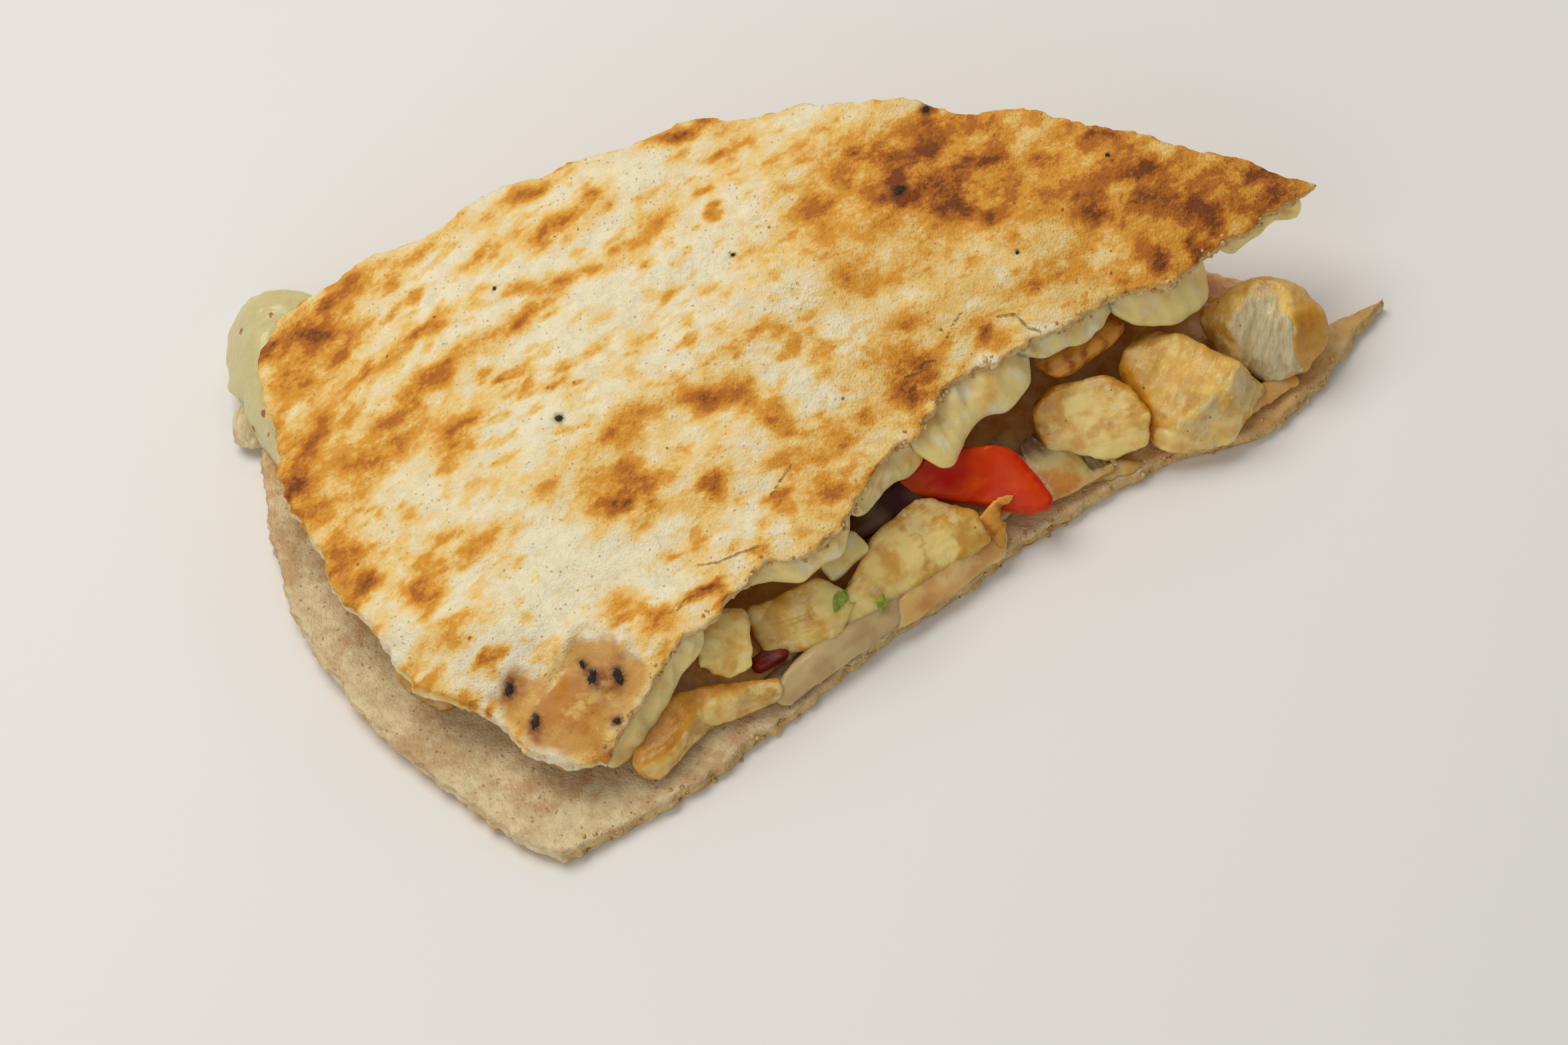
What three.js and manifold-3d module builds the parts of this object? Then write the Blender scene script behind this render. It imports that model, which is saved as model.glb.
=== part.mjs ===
// One wedge of a toasted chicken quesadilla, lying flat. Two wedge-shaped layers of one folded wheat
// tortilla hold melted cheese, diced chicken, red pepper and onion. The filling shows in the front cut.
// Millimetres, +Z up. The origin is at the middle of the footprint, on the surface that the wedge lies on.
// +X points along the wedge to its tip, and +Y to its back cut.

import * as THREE from "three";
import { ImprovedNoise } from "three/addons/math/ImprovedNoise.js";
import { mergeVertices } from "three/addons/utils/BufferGeometryUtils.js";
import Module from "manifold-3d";

const wasm = await Module();
wasm.setup();

// ---------------------------------------------------------------- driving dimensions

const TORTILLA = 1.9; // thickness of one layer
const CLEARANCE = 0.3; // between pieces that touch
const CHEESE_GAP = 0.55; // between the layers and the cheese spread on them
const TIP_HEIGHT = 18; // top of the upper layer over the tip
const FRONT_SAG = { even: 3, growing: 2, corner: 3 }; // how the upper layer comes down along the front cut
const BACK_FALL = 7.5; // and along the back cut, from tip to rim
const BACK_HUMP = 9.5; // rise of the back cut over the filling
const CROWN = 1.6; // extra rise in the middle of the upper layer
const SHEET_ROWS = { upper: 25, lower: 18 }; // rows of faces from tip to rim

// A layer's outline: its tip, the length and heading of both cuts, and how far each side bows outwards.
const LOWER = {
  tip: [0, 0],
  front: { length: 104.4, heading: 218.7, bow: (t) => 4.9 * bell(t, 0.16, 0.11) + 1.5 * bell(t, 0.82, 0.13) },
  back: { length: 113, heading: 180.5, bow: (t) => 7.5 * Math.sin(Math.PI * t) - 5.5 * bell(t, 0.065, 0.05) },
  rimBow: (s) => 11.5 * Math.sin(Math.PI * s),
  cornerRound: 1,
  waver: 0.12,
};
const UPPER = {
  tip: [-6.7, 2.4],
  front: { length: 92.6, heading: 221.2, bow: (t) => upperFrontBow(t) },
  back: { length: 107, heading: 185.4, bow: (t) => 11.2 * Math.sin(Math.PI * t) },
  rimBow: (s) => 9.6 * Math.sin(Math.PI * s) + 1.7 * bell(s, 0.31, 0.1) + 1.4 * bell(s, 0.09, 0.08),
  cornerRound: 1.4,
  waver: 0.35,
};

// The upper layer's front cut is hollow, with a torn flap and a notch two thirds of the way to the rim.
function upperFrontBow(t) {
  const hollow = -6.6 * bell(t, 0.44, 0.21) - 3.4 * bell(t, 0.84, 0.13);
  return hollow + 1.2 * bell(t, 0.65, 0.024) - 2.2 * bell(t, 0.73, 0.022);
}

// The corner of the upper layer beyond this crease is bent down. Both points are seen from above.
const CREASE = { from: [-95, -44], to: [-72.3, -46.5], slope: 0.26, ridge: 0.5 };

// ---------------------------------------------------------------- small helpers

const radians = THREE.MathUtils.degToRad;
const mix = THREE.MathUtils.lerp;
const perlin = new ImprovedNoise();

function bell(x, middle, width) {
  return Math.exp(-(((x - middle) / width) ** 2));
}

function noiseAt(x, y, z, seed) {
  return perlin.noise(x + 17.3 * seed, y - 9.1 * seed, z + 5.7 * seed);
}

function solidOf(geometry) {
  const bare = geometry.clone();
  bare.deleteAttribute("normal");
  bare.deleteAttribute("uv");
  const merged = mergeVertices(bare, 1e-4);
  return new wasm.Manifold(
    new wasm.Mesh({
      numProp: 3,
      vertProperties: new Float32Array(merged.attributes.position.array),
      triVerts: new Uint32Array(merged.index.array),
    }),
  );
}

function geometryOf(solid) {
  const mesh = solid.getMesh();
  const geometry = new THREE.BufferGeometry();
  geometry.setAttribute("position", new THREE.BufferAttribute(new Float32Array(mesh.vertProperties), 3));
  geometry.setIndex(new THREE.BufferAttribute(new Uint32Array(mesh.triVerts), 1));
  geometry.computeVertexNormals();
  return geometry;
}

// The biggest body of a cut solid, without its smallest facets. Loose scraps that a cut leaves are dropped.
function mainBody(solid, tolerance) {
  const bodies = solid.simplify(tolerance).decompose();
  return bodies.reduce((best, body) => (body.volume() > best.volume() ? body : best));
}

// ---------------------------------------------------------------- plan of a layer

function cornerAt(tip, cut) {
  const angle = radians(cut.heading);
  return new THREE.Vector2(tip[0] + cut.length * Math.cos(angle), tip[1] + cut.length * Math.sin(angle));
}

// A point of one cut: t runs from 0 at the tip to 1 at the rim. side is 1 where outwards is to the left of
// the heading, and -1 where it is to the right.
function pointOnCut(layer, cut, side, t) {
  const angle = radians(cut.heading);
  const ends = Math.min(1, 12 * t * (1 - t));
  const waver = layer.waver * ends * (Math.sin(37 * t + side) + Math.sin(61 * t + 2 * side));
  const out = side * (cut.bow(t) + waver);
  return new THREE.Vector2(
    layer.tip[0] + t * cut.length * Math.cos(angle) - out * Math.sin(angle),
    layer.tip[1] + t * cut.length * Math.sin(angle) + out * Math.cos(angle),
  );
}

function pointOnRim(layer, s) {
  const front = cornerAt(layer.tip, layer.front);
  const back = cornerAt(layer.tip, layer.back);
  const along = back.clone().sub(front).normalize();
  const outwards = new THREE.Vector2(-along.y, along.x);
  const waver = layer.waver * Math.min(1, 12 * s * (1 - s)) * Math.sin(29 * s);
  return front.lerp(back, s).addScaledVector(outwards, layer.rimBow(s) + waver);
}

// A point of the layer: s runs from 0 at the front cut to 1 at the back cut, and t from the tip to the rim.
function planPoint(layer, s, t) {
  const onFront = pointOnCut(layer, layer.front, 1, t);
  const onBack = pointOnCut(layer, layer.back, -1, t);
  const point = onFront.lerp(onBack, s);
  const chord = cornerAt(layer.tip, layer.front).lerp(cornerAt(layer.tip, layer.back), s);
  point.add(pointOnRim(layer, s).sub(chord).multiplyScalar(t ** 1.5));
  // Round both rim corners and the tip by drawing them in.
  const middle = cornerAt(layer.tip, layer.front).add(cornerAt(layer.tip, layer.back)).multiplyScalar(0.5);
  for (const corner of [cornerAt(layer.tip, layer.front), cornerAt(layer.tip, layer.back)]) {
    const aim = middle.clone().add(new THREE.Vector2(...layer.tip)).multiplyScalar(0.5);
    const inwards = aim.sub(corner).normalize();
    point.addScaledVector(inwards, layer.cornerRound * bell(point.distanceTo(corner), 0, 2.6));
  }
  return point;
}

// ---------------------------------------------------------------- heights

// How far a point lies beyond the crease, towards the front corner.
function beyondCrease(x, y) {
  const [fromX, fromY] = CREASE.from;
  const [toX, toY] = CREASE.to;
  const length = Math.hypot(toX - fromX, toY - fromY);
  return ((toY - fromY) * (x - fromX) - (toX - fromX) * (y - fromY)) / length;
}

// The upper face of the upper layer.
function upperTop(s, t, x, y) {
  const frontHeight = TIP_HEIGHT - FRONT_SAG.even * t - FRONT_SAG.growing * t * t - FRONT_SAG.corner * t ** 9;
  const backHeight = TIP_HEIGHT - BACK_FALL * t + BACK_HUMP * Math.sin(Math.PI * t);
  const crown = CROWN * Math.sin(Math.PI * s) * Math.sin(Math.PI * t);
  const broad = 0.3 * Math.sin(x / 4.7 + 0.6 * Math.sin(y / 6.1)) * Math.sin(y / 5.3 + 1.1);
  const lumps = broad + 0.16 * Math.sin(x / 2.6 - y / 2.1);
  const beyond = beyondCrease(x, y);
  const bent = CREASE.ridge * bell(beyond, 0, 2.5) - CREASE.slope * Math.max(0, beyond - 1);
  const alongRim = t > 0.5 ? 1 : 0;
  return mix(frontHeight, backHeight, s) + crown + lumps + alongRim * bent;
}

// The upper face of the lower layer, whose rim lifts a little off the surface.
function lowerTop(s, t, x, y) {
  const curl = 1.3 * Math.max(0, (t - 0.9) / 0.1) ** 2 * (0.4 + 0.6 * Math.sin(Math.PI * s));
  const lumps = 0.12 * Math.sin(x / 3.9 + 0.4) * Math.sin(y / 4.4);
  return TORTILLA + curl + lumps;
}

// Its underside is flat on the surface, apart from the curled rim.
function lowerUnderside(s, t) {
  return Math.max(0, lowerTop(s, t, 0, 0) - TORTILLA - 0.12);
}

// ---------------------------------------------------------------- solids from rows of points

// Triangles between two neighbouring rows, whose points are spread alike.
function stitch(faces, rowA, rowB) {
  let a = 0;
  let b = 0;
  while (a < rowA.length - 1 || b < rowB.length - 1) {
    const nextA = rowA.length > 1 ? (a + 1) / (rowA.length - 1) : 2;
    const nextB = rowB.length > 1 ? (b + 1) / (rowB.length - 1) : 2;
    if (b < rowB.length - 1 && (nextB <= nextA || a === rowA.length - 1)) {
      faces.push([rowA[a], rowB[b], rowB[b + 1]]);
      b += 1;
    } else {
      faces.push([rowA[a], rowB[b], rowA[a + 1]]);
      a += 1;
    }
  }
}

// A closed solid between two heights over rows of [s, t] places. place(s, t) gives x and y.
function layeredSolid(rows, place, heightAbove, heightBelow) {
  const positions = [];
  const indexRows = rows.map((row) =>
    row.map(([s, t]) => {
      const { x, y } = place(s, t);
      positions.push([x, y, heightAbove(s, t, x, y)]);
      return positions.length - 1;
    }),
  );
  const count = positions.length;
  rows.flat().forEach(([s, t], i) => {
    const [x, y] = positions[i];
    positions.push([x, y, heightBelow(s, t, x, y)]);
  });

  const faces = [];
  for (let i = 0; i < rows.length - 1; i += 1) {
    stitch(faces, indexRows[i], indexRows[i + 1]);
  }
  const upside = faces.map(([a, b, c]) => [a, c, b]);
  const underside = faces.map(([a, b, c]) => [a + count, b + count, c + count]);
  const lastRow = indexRows[indexRows.length - 1];
  const edge = [
    ...indexRows.map((row) => row[0]),
    ...lastRow.slice(1),
    ...indexRows.slice(0, -1).reverse().map((row) => row[row.length - 1]),
    ...indexRows[0].slice(1, -1).reverse(),
  ].filter((v, i, all) => v !== all[(i + 1) % all.length]);
  const walls = edge.flatMap((a, i) => {
    const b = edge[(i + 1) % edge.length];
    return [
      [a, b, b + count],
      [a, b + count, a + count],
    ];
  });

  const geometry = new THREE.BufferGeometry();
  geometry.setAttribute("position", new THREE.Float32BufferAttribute(positions.flat(), 3));
  geometry.setIndex([...upside, ...underside, ...walls].flat());
  return solidOf(geometry);
}

// Rows for a whole layer: one point at the tip, and one more in each row towards the rim.
function triangleRows(count) {
  return Array.from({ length: count + 1 }, (_, i) =>
    Array.from({ length: i + 1 }, (_unused, j) => [i === 0 ? 0.5 : j / i, i / count]),
  );
}

// Rows for a patch of a layer, between two values of s and two of t.
function patchRows(sFrom, sTo, tFrom, tTo, across, along) {
  return Array.from({ length: along + 1 }, (_, i) =>
    Array.from({ length: across + 1 }, (_unused, j) => [
      mix(sFrom, sTo, j / across),
      mix(tFrom, tTo, i / along),
    ]),
  );
}

// A whole layer of tortilla. grow makes it bigger all round, for cutting what lies against it.
function tortillaSolid(layer, rowCount, topFace, bottomFace, grow = 0) {
  const middle = planPoint(layer, 0.5, 0.62);
  const spread = (s, t) => {
    const point = planPoint(layer, s, t);
    const away = point.clone().sub(middle);
    return point.addScaledVector(away.normalize(), grow * 1.3);
  };
  const below = (s, t, x, y) => bottomFace(s, t, x, y) - grow;
  const above = (s, t, x, y) => topFace(s, t, x, y) + grow;
  return layeredSolid(triangleRows(rowCount), spread, above, below);
}

// ---------------------------------------------------------------- rounded lumps

// A lump of food: a rounded box with uneven sides, flat knife cuts, and a bend along its length.
// size is its length, width and height. A cut is [x, y, z, share]: its outward direction, and how far out
// it is, as a share of the half size that way.
function lumpGeometry(piece) {
  const { size, blocky = 3, uneven = 0.08, seed = 1, cuts = [], bend = 0, detail = 2, grow = 0 } = piece;
  const geometry = mergeVertices(bareSphere(detail), 1e-4);
  const half = new THREE.Vector3(...size).multiplyScalar(0.5).addScalar(1.3 * grow);
  const vertex = new THREE.Vector3();
  const position = geometry.attributes.position;
  for (let i = 0; i < position.count; i += 1) {
    vertex.fromBufferAttribute(position, i).normalize();
    const { x, y, z } = vertex;
    const reach = (Math.abs(x) ** blocky + Math.abs(y) ** blocky + Math.abs(z) ** blocky) ** (-1 / blocky);
    const broad = 2 * noiseAt(x * 1.3, y * 1.3, z * 1.3, seed);
    const narrow = noiseAt(x * 3, y * 3, z * 3, seed);
    vertex.multiplyScalar(reach * (1 + uneven * (broad + narrow)));
    for (const [cutX, cutY, cutZ, share] of cuts) {
      const direction = new THREE.Vector3(cutX, cutY, cutZ).normalize();
      const over = vertex.dot(direction) - share;
      if (over > 0) vertex.addScaledVector(direction, -over);
    }
    vertex.multiply(half);
    vertex.z += bend * vertex.x * vertex.x;
    position.setXYZ(i, vertex.x, vertex.y, vertex.z);
  }
  return geometry;
}

function bareSphere(detail) {
  const sphere = new THREE.IcosahedronGeometry(1, detail);
  sphere.deleteAttribute("normal");
  sphere.deleteAttribute("uv");
  return sphere;
}

// The lump in its place. turn is its heading, then its pitch and its roll, in degrees.
function lumpSolid(piece, grow = 0) {
  const geometry = lumpGeometry({ ...piece, grow });
  const [heading, pitch = 0, roll = 0] = piece.turn ?? [0];
  geometry.applyMatrix4(
    new THREE.Matrix4()
      .makeRotationFromEuler(new THREE.Euler(radians(roll), radians(-pitch), radians(heading), "ZYX"))
      .setPosition(...piece.at),
  );
  return solidOf(geometry);
}

// ---------------------------------------------------------------- the filling's pieces

// Places are measured from the tip of the lower layer. A piece is cut by those that come before it.
const PIECES = [
  // Along the front cut, from the tip to the rim.
  { name: "chicken_tip_cube", kind: "chicken", at: [-11.7, -8.2, 7.4], size: [12.6, 9.2, 9.4],
    turn: [14, 6, 6], blocky: 5, uneven: 0.05, seed: 3, cuts: [[0.05, -0.75, 0.66, 0.8]] },
  { name: "chicken_wedge_cut", kind: "chicken", at: [-19.8, -14.0, 6.4], size: [13.4, 8.4, 9.2],
    turn: [26, 4, 0], blocky: 5, uneven: 0.06, seed: 7,
    cuts: [[-0.45, -0.55, 0.7, 0.66], [0.6, -0.6, 0.5, 0.72]] },
  { name: "chicken_browned_side", kind: "chicken", at: [-29.8, -18.2, 6.2], size: [12.8, 7.4, 7.6],
    turn: [32, -3, 4], blocky: 5, uneven: 0.06, seed: 11,
    cuts: [[0.35, -0.7, 0.6, 0.78], [-0.6, -0.5, 0.5, 0.86]] },
  { name: "pepper_red_strip", kind: "pepper", at: [-40.4, -25.7, 7.8], size: [15.6, 7.6, 2.8],
    turn: [4, -12, 30], blocky: 6, uneven: 0.03, seed: 5, bend: -0.018,
    cuts: [[0.69, 0.72, 0, 0.8], [-0.8, 0.5, 0, 0.84], [0.6, -0.8, 0, 0.95]] },
  { name: "chicken_long_strip", kind: "chicken", at: [-47.4, -34.4, 5.4], size: [20.6, 7.2, 5.8],
    turn: [37, -2, 14], blocky: 4.6, uneven: 0.05, seed: 17,
    cuts: [[0, -0.75, 0.66, 0.8], [0.7, -0.5, 0.4, 0.9]],
    fused: [
      { at: [-54.1, -39.3, 6.8], size: [2.4, 1.8, 3.0], turn: [30, 0, -30], seed: 18 },
      { at: [-50.2, -38.6, 5.4], size: [1.7, 1.5, 2.6], turn: [60, 20, -20], seed: 19 },
    ] },
  { name: "pepper_red_chip", kind: "pepper", at: [-61.0, -44.5, 4.7], size: [4.8, 2.8, 2],
    turn: [36, 0, 20], blocky: 3, uneven: 0.05, seed: 59 },
  { name: "chicken_flat_golden", kind: "chicken", at: [-58.9, -40.6, 6.4], size: [10, 7, 4.8],
    turn: [26, 0, 16], blocky: 4.6, uneven: 0.05, seed: 23, cuts: [[-0.6, -0.6, 0.4, 0.8]] },
  { name: "cheese_curd", kind: "cheese", at: [-53.5, -34.6, 9.4], size: [6.2, 5.2, 3.8], turn: [40, 0, 20],
    blocky: 4, uneven: 0.06, seed: 29 },
  { name: "chicken_hanging", kind: "chicken", at: [-65.2, -45.2, 8.7], size: [8, 6, 5.2], turn: [36, 8, 16],
    blocky: 4, uneven: 0.06, seed: 31, cuts: [[0.3, -0.8, -0.3, 0.8]] },
  { name: "chicken_rim_strip", kind: "chicken", at: [-66.9, -52.3, 4.9], size: [18.2, 5.2, 4.2],
    turn: [35, 3, 20], blocky: 4.6, uneven: 0.05, seed: 37, bend: 0.012,
    cuts: [[0, -0.8, 0.55, 0.84], [-0.8, -0.4, 0.2, 0.9]] },
  { name: "onion_pale_strip", kind: "onion", at: [-55.8, -44.0, 3.7], size: [16, 4.8, 2.4],
    turn: [42, 0, 6], blocky: 3.6, uneven: 0.04, seed: 41 },
  { name: "onion_red_slice", kind: "onion", at: [-50.4, -27.8, 8.4], size: [9, 5.4, 2.8], turn: [30, 0, 24],
    blocky: 3, uneven: 0.05, seed: 43, bend: -0.03 },
  { name: "onion_glazed_shred", kind: "onion", at: [-38.4, -29.4, 5.4], size: [8.4, 4.2, 2.2],
    turn: [58, -22, 34], blocky: 2.6, uneven: 0.1, seed: 47, bend: 0.04 },
  { name: "onion_browned_strip", kind: "onion", at: [-30.2, -11.8, 11], size: [10, 4.4, 3],
    turn: [36, 8, 10], blocky: 3, uneven: 0.06, seed: 53, bend: -0.02 },

  // Along the back cut, from the tip to the rim.
  { name: "chicken_back_first", kind: "chicken", at: [-25.5, 0.9, 8.4], size: [12.6, 10, 11.4],
    turn: [8, 5, -4], blocky: 4.6, uneven: 0.06, seed: 61, cuts: [[0, 0.95, 0.3, 0.8]] },
  { name: "chicken_back_second", kind: "chicken", at: [-41.8, 3.3, 8.0], size: [15.8, 9.6, 10.8],
    turn: [-3, -4, 5], blocky: 4.6, uneven: 0.07, seed: 67, cuts: [[0.1, 0.9, 0.4, 0.8]] },
  { name: "pepper_red_back", kind: "pepper", at: [-47.5, 4.6, 16.0], size: [16, 6.4, 2.8],
    turn: [-2, 4, -24], blocky: 4.6, uneven: 0.03, seed: 71, bend: -0.014 },
  { name: "chicken_back_third", kind: "chicken", at: [-60.0, 3.2, 9.0], size: [14.4, 10.2, 12.6],
    turn: [-8, 6, 0], blocky: 4.6, uneven: 0.06, seed: 73, cuts: [[-0.1, 0.95, 0.3, 0.8]] },
  { name: "onion_back_strip", kind: "onion", at: [-76.6, 2.4, 4.0], size: [15, 5, 3], turn: [-8, 0, 8],
    blocky: 3.4, uneven: 0.05, seed: 79 },
  { name: "chicken_back_fourth", kind: "chicken", at: [-77.4, 1.0, 9.8], size: [15, 8.6, 7],
    turn: [-12, -8, 0], blocky: 4.6, uneven: 0.07, seed: 83 },

  // Under the ooze at the back of the rim.
  { name: "chicken_rim_bit", kind: "chicken", at: [-113.6, -14.2, 3.4], size: [4.6, 6, 2.8],
    turn: [80, 0, 0], blocky: 2.6, uneven: 0.08, seed: 89 },
];

// ---------------------------------------------------------------- melted cheese

// Blobs that are fused to the cheese: hung from the upper layer, oozed at the rim, and caught between pieces.
const CHEESE_BLOBS = [
  // Hung along the front cut.
  { at: [-11, 0.6, 14.9], size: [8, 4.4, 2.8], turn: [38], seed: 2 },
  { at: [-16.4, -2.4, 14.4], size: [9, 4.4, 2.6], turn: [30], seed: 4 },
  { at: [-22.8, -7.0, 13.4], size: [12, 4.2, 5], turn: [30, 5, 0], seed: 6 },
  { at: [-31, -11.8, 13.6], size: [10, 4.6, 2.6], turn: [30], seed: 8 },
  { at: [-40.2, -19.2, 12.4], size: [11, 7, 4], turn: [36, 0, 30], seed: 10 },
  { at: [-49, -25.4, 12], size: [10, 4.6, 3.6], turn: [50], seed: 12 },
  { at: [-58.4, -34, 11.8], size: [11, 4.8, 2.8], turn: [40], seed: 14 },
  { at: [-70.4, -48, 8.8], size: [11, 5, 4], turn: [52, 10, 0], seed: 16 },
  // On the lower layer.
  { at: [-14.6, -12.2, 3.4], size: [13, 7.5, 3.4], turn: [44], seed: 18 },
  { at: [-31.4, -21, 3.6], size: [15, 6, 3.4], turn: [36], seed: 20 },
  { at: [-46, -32, 3.3], size: [17, 8, 3], turn: [36], seed: 22 },
  { at: [-67, -46.5, 3.6], size: [13, 8, 3.4], turn: [36], seed: 24 },
  // Oozed past the rim, and a film that has run on to the bare rim.
  { at: [-104, -7.4, 6], size: [16, 9, 5], turn: [6], seed: 25 },
  { at: [-112.2, -4.6, 5.8], size: [8.2, 14, 5.8], turn: [4], seed: 26 },
  { at: [-111.4, -14, 5.4], size: [7, 9, 4.4], turn: [10], seed: 28 },
  { at: [-93.6, -43.8, 2.8], size: [9, 8, 1.8], turn: [-50], seed: 30 },
  // In the back cut.
  { at: [-90.5, -3, 6.4], size: [15, 5.4, 6], turn: [-14], seed: 32 },
  { at: [-68.6, 2.6, 15.4], size: [14, 5, 3.6], turn: [-10], seed: 34 },
  { at: [-33, 3.2, 15], size: [12, 5, 4], turn: [4], seed: 36 },
  { at: [-51, 5.4, 4.2], size: [16, 5, 3.6], turn: [-2], seed: 38 },
];

// The space under the upper layer, down from its underside.
const underUpper = (depth) => (s, t, x, y) => upperTop(s, t, x, y) - TORTILLA - depth;

// A place on a layer that keeps clear of its sides and of its rim corners.
const inset = (layer) => (s, t) => planPoint(layer, 0.5 + (s - 0.5) * (1 - 0.2 * t ** 10), t);

function cheeseBody() {
  const thick = (s, t) => Math.min(1, 6 * s, 8 * (1 - s), 7 * (1 - t));
  const ceilingTop = underUpper(CHEESE_GAP);
  const sagging = (s, t, x, y) => 1.1 + thick(s, t) * (1.2 + noiseAt(x / 6, y / 6, 0.5, 5));
  const ceiling = layeredSolid(
    patchRows(0.03, 0.98, 0.08, 0.95, 9, 10),
    inset(UPPER),
    ceilingTop,
    (s, t, x, y) => ceilingTop(s, t, x, y) - sagging(s, t, x, y),
  );
  const floor = layeredSolid(
    patchRows(0.07, 0.97, 0.12, 0.92, 7, 8),
    inset(LOWER),
    (s, t, x, y) => lowerTop(s, t, x, y) + 1.5 + thick(s, t) * (1 + noiseAt(x / 7, y / 7, 0.5, 6)),
    (s, t, x, y) => lowerTop(s, t, x, y) + CHEESE_GAP,
  );
  const core = layeredSolid(
    patchRows(0.3, 0.84, 0.24, 0.9, 5, 9),
    (s, t) => planPoint(UPPER, s + 0.05 * s * Math.sin(17 * t), t),
    underUpper(1.2),
    () => TORTILLA + 1.2,
  );
  const blobs = CHEESE_BLOBS.map((blob) => lumpSolid({ detail: 1, blocky: 2.5, uneven: 0.1, ...blob }));
  return wasm.Manifold.union([ceiling, floor, core, ...blobs]);
}

// ---------------------------------------------------------------- materials

const MATERIALS = {
  tortilla: new THREE.MeshStandardMaterial({ color: 0xe6c995, roughness: 0.85 }),
  chicken: new THREE.MeshStandardMaterial({ color: 0xd9c193, roughness: 0.6 }),
  cheese: new THREE.MeshStandardMaterial({ color: 0xe8dfb8, roughness: 0.35 }),
  pepper: new THREE.MeshStandardMaterial({ color: 0xc92a12, roughness: 0.3 }),
  onion: new THREE.MeshStandardMaterial({ color: 0xcdb9a4, roughness: 0.35 }),
};

// ---------------------------------------------------------------- the wedge

const upperUnderside = underUpper(0);
const lowerLayer = tortillaSolid(LOWER, SHEET_ROWS.lower, lowerTop, lowerUnderside);
const upperLayer = tortillaSolid(UPPER, SHEET_ROWS.upper, upperTop, upperUnderside);

const solids = new Map([
  ["tortilla_lower", { solid: lowerLayer, kind: "tortilla" }],
  ["tortilla_upper", { solid: upperLayer, kind: "tortilla" }],
]);

let taken = wasm.Manifold.union([
  tortillaSolid(LOWER, SHEET_ROWS.lower, lowerTop, lowerUnderside, CLEARANCE),
  tortillaSolid(UPPER, SHEET_ROWS.upper, upperTop, upperUnderside, CLEARANCE),
]);
for (const piece of PIECES) {
  const bits = (piece.fused ?? []).map((bit) => lumpSolid({ detail: 1, ...bit }));
  const whole = wasm.Manifold.union([lumpSolid(piece), ...bits]);
  solids.set(piece.name, { solid: mainBody(whole.subtract(taken), 0.06), kind: piece.kind });
  taken = taken.add(lumpSolid(piece, CLEARANCE));
}
solids.set("cheese_melted", { solid: mainBody(cheeseBody().subtract(taken), 0.08), kind: "cheese" });

const wedge = new THREE.Group();
for (const [name, { solid, kind }] of solids) {
  const mesh = new THREE.Mesh(geometryOf(solid), MATERIALS[kind]);
  mesh.name = name;
  wedge.add(mesh);
}

// Stand the wedge on its origin: the middle of its footprint, at its lowest point.
const box = new THREE.Box3().setFromObject(wedge);
const middle = box.getCenter(new THREE.Vector3());
wedge.position.set(-middle.x, -middle.y, -box.min.z);

export default wedge;
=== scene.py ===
import math

import bmesh
import bpy
import numpy as np
from mathutils import Matrix, Vector, noise


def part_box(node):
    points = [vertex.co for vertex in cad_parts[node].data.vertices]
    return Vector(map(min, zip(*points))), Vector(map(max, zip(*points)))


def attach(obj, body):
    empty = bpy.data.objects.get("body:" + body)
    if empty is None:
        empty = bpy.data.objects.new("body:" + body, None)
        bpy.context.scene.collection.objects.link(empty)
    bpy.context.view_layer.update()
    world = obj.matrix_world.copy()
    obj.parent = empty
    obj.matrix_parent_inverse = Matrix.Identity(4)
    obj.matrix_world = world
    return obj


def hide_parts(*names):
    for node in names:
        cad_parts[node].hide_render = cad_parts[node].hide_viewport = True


bl_info = {
    "name": "Quesadilla wedge",
    "version": (1, 0, 0),
    "blender": (4, 5, 0),
    "location": "3D View > Sidebar > Quesadilla",
    "description": "Builds the toasted layers, the melted cheese and the filling of one quesadilla wedge",
    "category": "Object",
}

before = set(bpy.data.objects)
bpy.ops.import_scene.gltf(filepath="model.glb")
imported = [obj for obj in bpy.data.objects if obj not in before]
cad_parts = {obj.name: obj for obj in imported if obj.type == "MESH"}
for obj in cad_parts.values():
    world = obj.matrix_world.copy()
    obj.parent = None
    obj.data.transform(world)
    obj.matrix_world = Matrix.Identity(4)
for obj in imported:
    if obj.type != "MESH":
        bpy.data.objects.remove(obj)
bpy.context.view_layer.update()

# All lengths in this file are millimetres, apart from those that Blender's own objects take in metres.
METRE = 1000.0
ROOT = "root"


# ------------------------------------------------------------------ form of the two layers

TORTILLA = 1.9  # thickness of one layer
TIP_HEIGHT = 18.0  # top of the upper layer over the tip
FRONT_SAG = {"even": 3.0, "growing": 2.0, "corner": 3.0}  # how the upper layer comes down along the front cut
BACK_FALL = 7.5  # and along the back cut, from tip to rim
BACK_HUMP = 9.5  # rise of the back cut over the filling
CROWN = 1.6  # extra rise in the middle of the upper layer
CURL = {"rise": 1.3, "from": 0.9}  # how the lower layer's rim lifts, beyond this share of its length
CAD_ROWS = 18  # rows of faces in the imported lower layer
RIM_WIDTH = 70  # about how wide a layer is at the rim
SIDE_LENGTH = 100  # and about how long from the tip to the rim
# The front corner of the upper layer is bent down beyond a crease from start to end, with a ridge along it.
CREASE = {"start": (-95.0, -44.0), "end": (-72.3, -46.5), "slope": 0.26, "ridge": 0.5}


def bell(x, middle, width):
    return np.exp(-(((x - middle) / width) ** 2))


def bow(arch, *bulges):
    """How far a side bows out along itself: one even arch, and bulges with their height, middle and width."""
    return lambda f: arch * np.sin(np.pi * f) + sum(height * bell(f, *place) for height, *place in bulges)


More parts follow.
